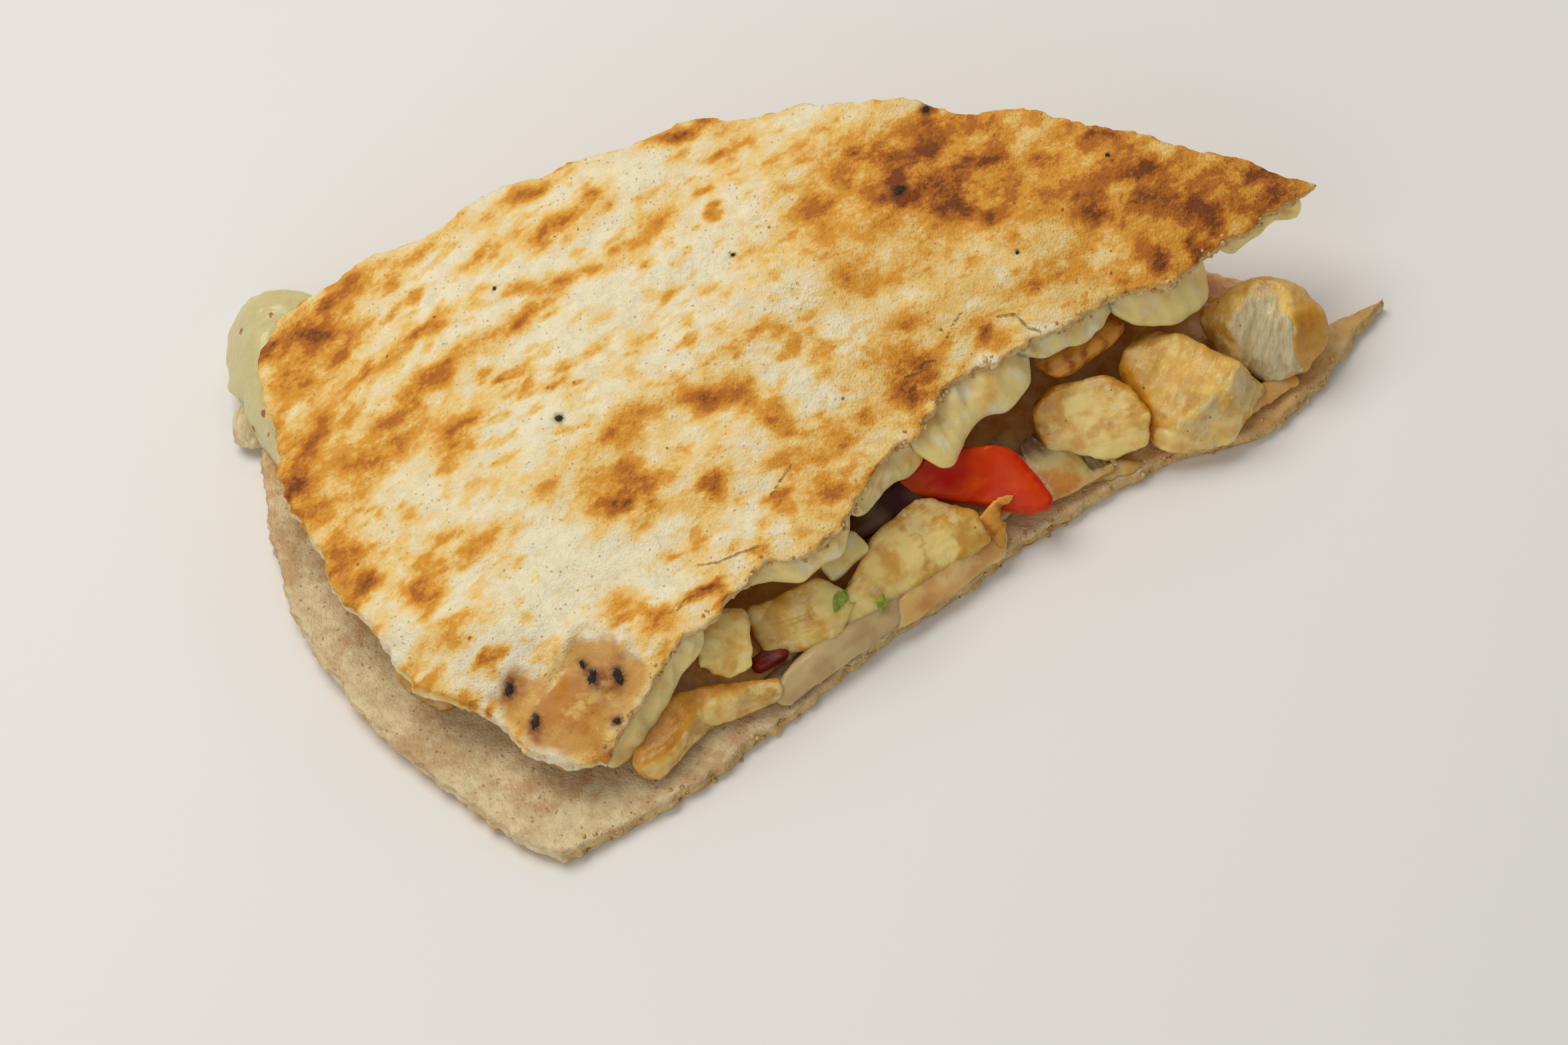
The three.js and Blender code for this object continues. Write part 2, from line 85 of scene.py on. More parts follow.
# The upper layer's front cut is hollow, with a torn flap and a notch two thirds of the way to the rim.
TORN_FRONT = ((-6.6, 0.44, 0.21), (-3.4, 0.84, 0.13), (1.2, 0.65, 0.024), (-2.2, 0.73, 0.022))
# Each cut has its length, its heading in degrees and its bow. waver tells how uneven the sides are, and
# edge_bulge how round the edge is.
LOWER = {
    "tip": (0.0, 0.0),
    "front": (104.4, 218.7, bow(0.0, (4.9, 0.16, 0.11), (1.5, 0.82, 0.13))),
    "back": (113.0, 180.5, bow(7.5, (-5.5, 0.065, 0.05))),
    "rim_bow": bow(11.5),
    "corner_round": 1.0,
    "waver": 0.12,
    "edge_bulge": 0.2,
}
UPPER = {
    "tip": (-6.7, 2.4),
    "front": (92.6, 221.2, bow(0.0, *TORN_FRONT)),
    "back": (107.0, 185.4, bow(11.2)),
    "rim_bow": bow(9.6, (1.7, 0.31, 0.1), (1.4, 0.09, 0.08)),
    "corner_round": 1.4,
    "waver": 0.35,
    "edge_bulge": 0.12,
}


def corner_at(layer, side):
    """The corner where a cut meets the rim."""
    length, heading, _bow = layer[side]
    angle = math.radians(heading)
    return np.array(layer["tip"]) + length * np.array([math.cos(angle), math.sin(angle)])


def outwards_at(layer, side):
    """The way that leads out of a layer across a cut."""
    heading = math.radians(layer[side][1])
    outwards = np.array([-math.sin(heading), math.cos(heading)])
    return outwards if side == "front" else -outwards


def off_ends(f):
    """0 at both ends of a side, and 1 a little way in from them."""
    return np.minimum(1, 12 * f * (1 - f))


def point_on_cut(layer, side, outwards, t):
    """Points of one cut: t runs from 0 at the tip to 1 at the rim."""
    length, heading, bow_at = layer[side]
    angle = math.radians(heading)
    waver = layer["waver"] * off_ends(t) * (np.sin(37 * t + outwards) + np.sin(61 * t + 2 * outwards))
    out = outwards * (bow_at(t) + waver)
    x = layer["tip"][0] + t * length * math.cos(angle) - out * math.sin(angle)
    y = layer["tip"][1] + t * length * math.sin(angle) + out * math.cos(angle)
    return np.stack([x, y], -1)


def point_on_rim(layer, s):
    """Points of the rim: s runs from 0 at the front cut to 1 at the back cut."""
    front = corner_at(layer, "front")
    back = corner_at(layer, "back")
    along = (back - front) / np.linalg.norm(back - front)
    outwards = np.array([-along[1], along[0]])
    waver = layer["waver"] * off_ends(s) * np.sin(29 * s)
    return front + s[:, None] * (back - front) + (layer["rim_bow"](s) + waver)[:, None] * outwards


def plan_point(layer, s, t):
    """Points of a layer: s runs from 0 at the front cut to 1 at the back cut, and t from tip to rim."""
    on_front = point_on_cut(layer, "front", 1, t)
    on_back = point_on_cut(layer, "back", -1, t)
    point = on_front + s[:, None] * (on_back - on_front)
    front = corner_at(layer, "front")
    back = corner_at(layer, "back")
    chord = front + s[:, None] * (back - front)
    point = point + (point_on_rim(layer, s) - chord) * (t**1.5)[:, None]
    aim = ((front + back) / 2 + np.array(layer["tip"])) / 2
    for corner in (front, back):
        inwards = (aim - corner) / np.linalg.norm(aim - corner)
        near = bell(np.linalg.norm(point - corner, axis=1), 0, 2.6)
        point = point + layer["corner_round"] * near[:, None] * inwards
    return point


def beyond_crease(x, y):
    """How far a point lies beyond the crease, towards the front corner."""
    (x0, y0), (x1, y1) = CREASE["start"], CREASE["end"]
    return ((y1 - y0) * (x - x0) - (x1 - x0) * (y - y0)) / math.hypot(x1 - x0, y1 - y0)


def upper_top(s, t, x, y):
    """Height of the upper layer's upper face."""
    front = TIP_HEIGHT - FRONT_SAG["even"] * t - FRONT_SAG["growing"] * t**2 - FRONT_SAG["corner"] * t**9
    back = TIP_HEIGHT - BACK_FALL * t + BACK_HUMP * np.sin(np.pi * t)
    crown = CROWN * np.sin(np.pi * s) * np.sin(np.pi * t)
    lumps = 0.3 * np.sin(x / 4.7 + 0.6 * np.sin(y / 6.1)) * np.sin(y / 5.3 + 1.1)
    lumps = lumps + 0.16 * np.sin(x / 2.6 - y / 2.1)
    beyond = beyond_crease(x, y)
    bent = CREASE["ridge"] * bell(beyond, 0, 2.5) - CREASE["slope"] * np.maximum(0, beyond - 1)
    return front + s * (back - front) + crown + lumps + (t > 0.5) * bent


def lower_top(s, t, x, y):
    """Height of the lower layer's upper face, whose rim lifts a little off the surface."""
    lifted = np.maximum(0, (t - CURL["from"]) / (1 - CURL["from"]))
    curl = CURL["rise"] * lifted**2 * (0.4 + 0.6 * np.sin(np.pi * s))
    return TORTILLA + curl + 0.12 * np.sin(x / 3.9 + 0.4) * np.sin(y / 4.4)


def lattice(rows):
    """The s and t of a layer's points: one point at the tip, and one more in each row towards the rim."""
    row = np.repeat(np.arange(rows + 1), np.arange(1, rows + 2))
    place = np.concatenate([np.arange(i + 1) for i in range(rows + 1)])
    s = np.where(row > 0, place / np.maximum(row, 1), 0.5)
    return s, row / rows


def layers_offset():
    """Where the tip of the lower layer lies in the frame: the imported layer's highest x and y show it."""
    s, t = lattice(CAD_ROWS)
    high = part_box("tortilla_lower")[1] * METRE
    return np.array(high[:2]) - plan_point(LOWER, s, t).max(0)


OFFSET = layers_offset()


# ------------------------------------------------------------------ settings that a user would change


def linear(hex_colour):
    """A colour such as "E2D1A1" in Blender's linear values."""
    values = [int(hex_colour[i : i + 2], 16) / 255 for i in (0, 2, 4)]
    return [v / 12.92 if v <= 0.04045 else ((v + 0.055) / 1.055) ** 2.4 for v in values]


def colour_property(name, description, hex_colour):
    return bpy.props.FloatVectorProperty(
        name=name, description=description, subtype="COLOR", min=0, max=1, default=linear(hex_colour)
    )


class TortillaSettings(bpy.types.PropertyGroup):
    """Looks of the two toasted layers."""

    upper_rows: bpy.props.IntProperty(
        name="Upper rows", description="Rows of faces in the upper layer", default=270, min=60, max=290
    )
    lower_rows: bpy.props.IntProperty(
        name="Lower rows", description="Rows of faces in the lower layer", default=230, min=60, max=290
    )
    relief: bpy.props.FloatProperty(
        name="Relief", description="Height of the blisters, beside the usual", default=1, min=0, max=2
    )
    raggedness: bpy.props.FloatProperty(
        name="Raggedness", description="How torn the cuts are, beside the usual", default=1, min=0, max=2
    )
    dough: colour_property("Dough", "Untoasted face of the tortilla", "F6EBC8")
    halo: colour_property("Halo", "Pale yellow round the toasted places", "F2CC7A")
    golden: colour_property("Golden", "Lightly toasted places", "E09C34")
    brown: colour_property("Brown", "Well toasted places", "B96C1A")
    dark: colour_property("Dark", "The darkest toasted places", "7E400C")
    inner: colour_property("Inner face", "The bare inside of the tortilla", "E9D6A8")
    crumb: colour_property("Crumb", "The torn cut edge", "EACB88")


class FillingSettings(bpy.types.PropertyGroup):
    """Looks of the filling."""

    voxel: bpy.props.FloatProperty(
        name="Mesh size", description="Size of the mesh faces, in millimetres", default=0.4, min=0.3, max=1
    )
    core: colour_property("Chicken core", "Middle of a fresh cut through the chicken", "D8CCA4")
    chicken: colour_property("Chicken", "Pale outside of the chicken", "F2CE70")
    sauced: colour_property("Sauced", "Chicken tinted by its yellow sauce", "D79B2C")
    seared: colour_property("Seared", "Golden outside of the chicken", "B5700F")
    seared_dark: colour_property("Dark sear", "Darkest places of the sear", "7C400C")
    cheese: colour_property("Cheese", "Melted cheese", "FFDD92")
    cheese_oil: colour_property("Cheese oil", "Yellow, oily places of the cheese", "E2A440")
    # The cheese at the rim is darker and greener than the rest: partly oozed cheese, partly painted shade.
    rim_cheese_and_shade: colour_property("Cheese at the rim", "Cheese that has oozed out of the rim", "CEC28C")
    pepper: colour_property("Pepper", "Flesh of the red pepper", "CC3602")
    pepper_skin: colour_property("Pepper skin", "Deep red of its skin", "C81206")
    onion: colour_property("Onion", "Pale cooked onion", "BEA270")
    onion_red: colour_property("Red onion", "Skin side of the red onion", "4A0A08")
    herb: colour_property("Herb", "Green bits on the chicken", "6C8A10")
    char: colour_property("Char", "Burnt bits on the crust", "1E130A")


class StageSettings(bpy.types.PropertyGroup):
    """Floor, light and camera."""

    floor: colour_property("Floor", "Colour of the floor", "E9E7E3")
    key: bpy.props.FloatProperty(
        name="Key light", description="Power of the main soft light", default=2.08, min=0, unit="POWER"
    )
    fill: bpy.props.FloatProperty(
        name="Fill light", description="Power of the light from the front", default=0.8, min=0, unit="POWER"
    )
    lens: bpy.props.FloatProperty(
        name="Lens", description="Focal length of the camera", default=150, min=20, unit="CAMERA"
    )


# ------------------------------------------------------------------ meshes


def noise_at(points, size, seed, octaves=1):
    """Smooth noise from about -1 to 1 at each point, whose features are about size across."""
    moved = np.asarray(points, float) / size + 13.7 * seed
    return np.array([noise.fractal(p, 1.0, 2.0, octaves) for p in moved.tolist()])


def on_plane(x, y):
    """The points at x and y on the floor."""
    return np.stack([x, y, np.zeros_like(x)], -1)


def smoothstep(x, low, high):
    f = np.clip((x - low) / (high - low), 0, 1)
    return f * f * (3 - 2 * f)


def turned(x, y, degrees):
    """x and y seen along a heading: first along it, then across it."""
    angle = math.radians(degrees)
    return x * math.cos(angle) + y * math.sin(angle), -x * math.sin(angle) + y * math.cos(angle)


def vertex_array(mesh):
    co = np.empty(len(mesh.vertices) * 3, np.float32)
    mesh.vertices.foreach_get("co", co)
    return co.reshape(-1, 3).astype(float)


def normal_array(mesh):
    normals = np.empty(len(mesh.vertices) * 3, np.float32)
    mesh.vertex_normals.foreach_get("vector", normals)
    return normals.reshape(-1, 3).astype(float)


def move_vertices(mesh, co):
    mesh.vertices.foreach_set("co", np.asarray(co, np.float32).ravel())
    mesh.update()


def set_values(mesh, name, values):
    """Stores one number, or three, for each vertex under a name that the materials read."""
    values = np.asarray(values, np.float32)
    if values.ndim == 2:
        mesh.attributes.new(name, "FLOAT_VECTOR", "POINT").data.foreach_set("vector", values.ravel())
    else:
        mesh.attributes.new(name, "FLOAT", "POINT").data.foreach_set("value", values)


def finished_piece(name, mesh, material, nodes=()):
    """Turns a mesh in millimetres into a piece of the part."""
    mesh.transform(Matrix.Scale(1 / METRE, 4))
    mesh.shade_smooth()
    mesh.materials.clear()
    mesh.materials.append(material)
    piece = bpy.data.objects.new(name, mesh)
    bpy.context.scene.collection.objects.link(piece)
    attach(piece, ROOT)
    if nodes:
        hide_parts(*nodes)


def softened(mesh, voxel, rounds, swell=0.0):
    """A finely meshed copy of a closed mesh in millimetres, smoothed and grown by swell."""
    helper = bpy.data.objects.new(mesh.name + "_helper", mesh)
    bpy.context.scene.collection.objects.link(helper)
    remesh = helper.modifiers.new("Remesh", "REMESH")
    remesh.mode = "VOXEL"
    remesh.voxel_size = voxel
    smooth = helper.modifiers.new("Smooth", "SMOOTH")
    smooth.factor = 0.5
    smooth.iterations = rounds
    evaluated = helper.evaluated_get(bpy.context.evaluated_depsgraph_get())
    made = bpy.data.meshes.new_from_object(evaluated)
    bpy.data.objects.remove(helper)
    if not made.vertices:
        raise RuntimeError(f"the mesh of {mesh.name} came out empty")
    bpy.data.meshes.remove(mesh)
    move_vertices(made, vertex_array(made) + swell * normal_array(made))
    return made


def blunted(mesh, voxel, rounds, blunt):
    """A softened mesh, after a first coarse pass that rounds off its corners over about blunt millimetres."""
    return softened(softened(mesh, blunt, 4, 0.3 * blunt), voxel, rounds)


def packed_copy(node):
    """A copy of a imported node's mesh in millimetres."""
    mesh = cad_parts[node].data.copy()
    mesh.transform(Matrix.Scale(METRE, 4))
    return mesh


def hull_mesh(name, hulls):
    """The hulls of lists of corners, which are measured from the lower layer's tip, placed in the frame."""
    shape = bmesh.new()
    for corners in hulls:
        made = [shape.verts.new(Vector(corner) + Vector((*OFFSET, 0))) for corner in corners]
        result = bmesh.ops.convex_hull(shape, input=made)
        spare = result["geom_interior"] + result["geom_unused"]
        spare = list({v for v in spare if isinstance(v, bmesh.types.BMVert)})
        bmesh.ops.delete(shape, geom=spare, context="VERTS")
    mesh = bpy.data.meshes.new(name)
    shape.to_mesh(mesh)
    shape.free()
    return mesh


def joined_mesh(name, parts):
    """One mesh of several lists of vertices and faces."""
    vertices = []
    faces = []
    for part_vertices, part_faces in parts:
        start = len(vertices)
        vertices.extend(part_vertices)
        faces.extend([tuple(start + v for v in face) for face in part_faces])
    mesh = bpy.data.meshes.new(name)
    mesh.from_pydata(vertices, [], faces)
    mesh.update()
    return mesh


# ------------------------------------------------------------------ a layer of tortilla


RINGS = 7  # rows of faces down a layer's edge


def layer_mesh(name, layer, rows, faces_at, raggedness):
    """A closed mesh of one layer, in its place in the frame.

    faces_at(s, t, x, y) gives the heights of its upper and lower face. Returns the mesh, the s and t of each
    vertex, and how far down it is: 0 on the upper face, 1 on the lower face and in between on the edge."""
    s, t = lattice(rows)
    plan = plan_point(layer, s, t)
    start = np.arange(rows + 1) * np.arange(1, rows + 2) // 2
    loop = np.concatenate([start, start[-1] + np.arange(1, rows + 1), (start + np.arange(rows + 1))[-2:0:-1]])
    plan = plan + ragged_shift(layer, plan, s, t, raggedness)
    high, low = faces_at(s, t, plan[:, 0], plan[:, 1])

    edge = plan[loop]
    tangent = np.roll(edge, -1, axis=0) - np.roll(edge, 1, axis=0)
    tangent = tangent / np.maximum(np.linalg.norm(tangent, axis=1), 1e-6)[:, None]
    outwards = np.stack([tangent[:, 1], -tangent[:, 0]], -1)
    if np.sum((edge - edge.mean(0)) * outwards) < 0:
        outwards = -outwards

    count = len(s)
    top = np.column_stack([plan, high])
    bottom = np.column_stack([plan, low])
    vertices = [top, bottom]
    depth = [np.zeros(count), np.ones(count)]
    places = [np.column_stack([s, t])] * 2
    ring_index = [loop]
    for k in range(1, RINGS):
        down = k / RINGS
        ring = top[loop] * (1 - down) + bottom[loop] * down
        flakes = 0.34 * noise_at(ring * [1, 1, 2.6], 1.5, 5, 2) + 0.24 * noise_at(ring * [1, 1, 2], 0.7, 9)
        round_out = math.sin(math.pi * down)
        out = layer["edge_bulge"] * round_out + flakes * raggedness * round_out**0.5
        ring[:, :2] += outwards * out[:, None]
        vertices.append(ring)
        depth.append(np.full(len(loop), down))
        places.append(np.column_stack([s[loop], t[loop]]))
        ring_index.append(2 * count + (k - 1) * len(loop) + np.arange(len(loop)))
    ring_index.append(count + loop)

    first = np.concatenate([start[i] + np.arange(i + 1) for i in range(rows)])
    below = np.concatenate([start[i + 1] + np.arange(i + 1) for i in range(rows)])
    inner = np.concatenate([start[i] + np.arange(i) for i in range(rows)])
    inner_below = np.concatenate([start[i + 1] + np.arange(i) for i in range(rows)])
    upside = np.concatenate(
        [np.column_stack([first, below + 1, below]), np.column_stack([inner, inner + 1, inner_below + 1])]
    )
    walls = []
    for above_ring, under_ring in zip(ring_index, ring_index[1:]):
        following = np.roll(above_ring, -1)
        walls.append(np.column_stack([above_ring, following, np.roll(under_ring, -1), under_ring]))
    triangles = np.concatenate([upside, upside[:, ::-1] + count])

    mesh = bpy.data.meshes.new(name)
    faces = triangles.tolist() + np.concatenate(walls).tolist()
    mesh.from_pydata(np.concatenate(vertices).tolist(), [], faces)
    move_vertices(mesh, vertex_array(mesh) + [*OFFSET, 0])
    places = np.concatenate(places)
    return mesh, places[:, 0], places[:, 1], np.concatenate(depth)


def ragged_shift(layer, plan, s, t, raggedness):
    """Sideways moves that tear the cut edges and leave the rest of the layer in place."""
    width = t * np.linalg.norm(corner_at(layer, "front") - corner_at(layer, "back"))
    length = layer["back"][0]
    to_edge = np.minimum.reduce([s * width, (1 - s) * width, (1 - t) * length])
    near = np.exp(-to_edge / 1.3) * smoothstep(t * length, 0, 4)
    points = on_plane(plan[:, 0], plan[:, 1])
    shift = [0.34 * noise_at(points, 2.6, i) + 0.38 * noise_at(points, 1.05, i + 1) for i in (21, 23)]
    return np.stack(shift, -1) * (near * raggedness)[:, None]


# ------------------------------------------------------------------ where the layers are toasted

# Each spot is x, y, length, width, heading and strength, in the frame. A spot is a ragged oval.
TOAST_SPOTS = (
    # The broad golden ground by the tip and over the filling.
    (36, 26, 34, 15, 160, 0.32), (12, 28, 24, 16, 20, 0.3), (44, 28, 16, 9, 150, 0.34),
    (24, 27, 18, 14, 0, 0.16),
    # Dark places in it.
    (11, 28, 9, 6, 30, 0.7), (16, 25, 5, 3.4, 60, 0.5), (7, 31, 5, 3.4, 20, 0.56), (13, 33, 6, 3, 10, 0.56),
    (18.5, 29.5, 5, 3.4, 30, 0.56), (48, 29, 6, 4.4, 140, 0.75), (40, 27, 5.4, 2.8, 160, 0.68),
    (30, 25.5, 6, 3, 165, 0.68), (30, 34, 6, 2.4, 170, 0.6), (25.5, 30, 4.4, 3, 150, 0.66),
    (19.5, 23.5, 4.4, 2.8, 150, 0.6), (39.5, 22.5, 4.6, 2.8, 150, 0.68), (36, 20.5, 4.6, 2.2, 150, 0.56),
    (24, 18, 5, 2.6, 20, 0.46), (3, 25, 7, 4.4, 40, 0.38), (34.5, 30, 4, 2.6, 20, 0.56),
    (44, 31, 4, 2.2, 150, 0.5),
    # The middle.
    (12, 8, 6.4, 5.4, 40, 0.72), (11.5, 13, 5, 3, 30, 0.42), (19, 13, 4, 2.4, 20, 0.4),
    (5, 17, 4, 2.4, 40, 0.4), (8, 17, 3, 2, 20, 0.34), (-2, 11.5, 5, 3, 30, 0.34), (3, 9, 3.6, 2, 10, 0.3),
    (8, 9, 3, 2, 30, 0.3), (-16, -4.5, 7, 5.6, 20, 0.66), (-17, 2, 8, 3, 35, 0.5),
    (-9, 5, 10, 2.6, 5, 0.48), (-2, 3, 7, 2.6, 150, 0.46), (4.5, 1.5, 6, 2.6, 20, 0.46),
    (0, -1.5, 4, 2.4, 10, 0.4), (3.5, -4.5, 5, 2.4, 20, 0.48), (-7.5, -4, 6, 3.4, 60, 0.5),
    # The long streaks towards the rim.
    (-24, 25, 9, 3, 30, 0.6), (-27, 29.5, 6, 2, 25, 0.5), (-11.5, 34.5, 9, 2.2, 10, 0.5),
    (-14, 24, 7, 3, 30, 0.45), (-32, 23, 6, 2, 35, 0.46), (-38, 25, 8, 1.8, 30, 0.46),
    (-37, 15.5, 8, 2, 33, 0.5), (-35, 11, 9, 2.4, 33, 0.52), (-27, 15, 7, 2.4, 35, 0.5),
    (-24, 19, 12, 2, 8, 0.48), (-39, 7, 10, 2.6, 33, 0.5), (-41, 3, 13, 5, 30, 0.5),
    (-33, 4, 5, 4, 30, 0.44), (-24, -3, 5, 3, 40, 0.36), (-30, -8, 5, 3, 30, 0.36),
    (-42, -11, 5, 3, 60, 0.4), (-36, -12.5, 3.6, 4.6, 10, 0.62), (-32, -17, 6, 2.4, 20, 0.44),
    (-17, -16, 5, 3, 30, 0.36),
    # The rim.
    (-48.5, 17, 10, 7, 150, 0.62), (-51, 13, 6, 5, 120, 0.5), (-48, 6, 7, 4, 60, 0.44),
    (-50, 1, 8, 5, 110, 0.5), (-45, -6, 9, 3.4, 110, 0.46), (-13, -18, 5, 3, 30, 0.34),
    (-46, 22, 12, 3, 35, 0.5), (-51, -4, 7, 3, 100, 0.34),
)
STREAK_HEADING = 33  # degrees: the way in which the tortilla was rolled out
# The front corner, in the frame: sauce has soaked in before a line, and the skin is torn off and raised.
SOAKED_LINE = ((-38, -24), (-31, -23), (-26, -21.5), (-23, -21), (-21, -18.6), (-17, -19), (-12, -24))
TORN_HOLE = {"at": (-22.7, -21.4), "size": (3.4, 1.5), "heading": 62, "depth": 0.6}
RAISED_ARC = {"middle": (-19.4, -20.6), "radius": 3.0, "width": 0.9, "height": 0.7, "front_end": -21}


def spots_toast(x, y):
    """How toasted each point is, from 0 to 1, by the ragged oval spots."""
    points = on_plane(x, y)
    x = x + 0.8 * noise_at(points, 2.6, 31) + 0.3 * noise_at(points, 1.1, 32)
    y = y + 0.8 * noise_at(points, 2.6, 33) + 0.3 * noise_at(points, 1.1, 34)
    untoasted = np.ones_like(x)
    for spot_x, spot_y, length, width, heading, strength in TOAST_SPOTS:
        along, across = turned(x - spot_x, y - spot_y, heading)
        reach = np.sqrt((2 * along / length) ** 2 + (2 * across / width) ** 2)
        untoasted *= 1 - min(1, 1.3 * strength) * np.exp(-1.05 * reach**1.7)
    return 1 - untoasted


def streaks(x, y, length, width, seed):
    """Long ragged noise that runs with the dough's own direction."""
    along, across = turned(x, y, STREAK_HEADING)
    return noise_at(on_plane(along * width / length, across), width, seed, 3)


def crust_toast(x, y):
    """How toasted the outside is: its own spots, and smaller ones between them that follow the streaks."""
    spots = spots_toast(x, y)
    crowd = 0.75 + 0.6 * noise_at(on_plane(x, y), 14, 40, 2)
    bold = 0.5 * smoothstep(streaks(x, y, 5.0, 2.4, 35), 0.24, 0.8) * crowd
    faint = 0.26 * smoothstep(streaks(x, y, 2.4, 1.3, 39), 0.1, 0.6) * crowd
    ground = 0.1 - 0.07 * smoothstep(-x, 4, 22) + 0.16 * noise_at(on_plane(x, y), 8, 38, 2)
    return ground + 1 - (1 - spots) * (1 - np.clip(bold, 0, 0.8)) * (1 - np.clip(faint, 0, 0.6))


def rim_toast(s, t, x, y):
    """The rim and the cuts are toasted a little more than the middle."""
    edge = 0.24 * np.exp(-((1 - t) * SIDE_LENGTH) / 4) + 0.16 * np.exp(-s * t * RIM_WIDTH / 2)
    return edge * (0.5 + noise_at(on_plane(x, y), 3, 36))


def soaked_share(x, y):
    """1 in the front corner, beyond the line where sauce has soaked in, and 0 elsewhere."""
    line_x, line_y = zip(*SOAKED_LINE)
    border = np.interp(x, line_x, line_y) + 1.4 * noise_at(on_plane(x, y), 2.4, 41, 3)
    return smoothstep(border - y, -0.5, 1.2) * smoothstep(x, -35, -28) * (x < 0)


def torn_share(x, y):
    """1 in the hole where the crust's skin is torn off in the front corner, and 0 elsewhere."""
    middle_x, middle_y = TORN_HOLE["at"]
    length, width = TORN_HOLE["size"]
    along, across = turned(x - middle_x, y - middle_y, TORN_HOLE["heading"])
    reach = np.hypot(2 * along / length, 2 * across / width)
    return 1 - smoothstep(reach + 0.4 * noise_at(on_plane(x, y), 1.2, 42, 2), 0.8, 1.1)


def torn_relief(x, y):
    """How high the skin stands round the torn hole, and how deep the hole is."""
    middle_x, middle_y = RAISED_ARC["middle"]
    crest = bell(np.hypot(x - middle_x, y - middle_y), RAISED_ARC["radius"], RAISED_ARC["width"])
    crest = RAISED_ARC["height"] * crest * (y > RAISED_ARC["front_end"])
    return crest - TORN_HOLE["depth"] * torn_share(x, y)


def upper_faces(settings):
    """Heights of the upper layer's two faces, with its blisters and wrinkles."""

    def faces_at(s, t, x, y):
        frame_x, frame_y = x + OFFSET[0], y + OFFSET[1]
        toast = spots_toast(frame_x, frame_y)
        points = on_plane(frame_x, frame_y)
        blisters = 0.5 * np.maximum(0, noise_at(points, 7, 51)) + 0.16 * noise_at(points, 3.1, 52)
        wrinkles = 0.1 * streaks(frame_x, frame_y, 3.4, 1.5, 53) + 0.05 * noise_at(points, 0.95, 54)
        relief = settings.relief * (blisters + wrinkles * (1 - 0.5 * toast) + 0.12 * toast)
        relief = relief + settings.relief * torn_relief(frame_x, frame_y)
        high = upper_top(s, t, x, y) + relief - 0.2
        thinner = 0.75 * np.exp(-s * (t * RIM_WIDTH) / 2.5)
        low = upper_top(s, t, x, y) - TORTILLA + thinner + 0.12 * noise_at(points, 2.2, 55)
        return high, low

    return faces_at


def lower_faces(settings):
    """Heights of the lower layer's two faces."""

    def faces_at(s, t, x, y):
        points = on_plane(x, y)
        wrinkles = 0.08 * noise_at(points, 1.7, 61, 2) + 0.2 * np.maximum(0, noise_at(points, 6, 62))
        high = lower_top(s, t, x, y) + settings.relief * wrinkles - 0.08
        lifted = np.maximum(0, lower_top(s, t, 0, 0) - TORTILLA - 0.12)
        low = lifted + 0.03 + 0.05 * noise_at(points, 1.3, 63)
        return high, np.maximum(0, low)

    return faces_at


# ------------------------------------------------------------------ shader helpers


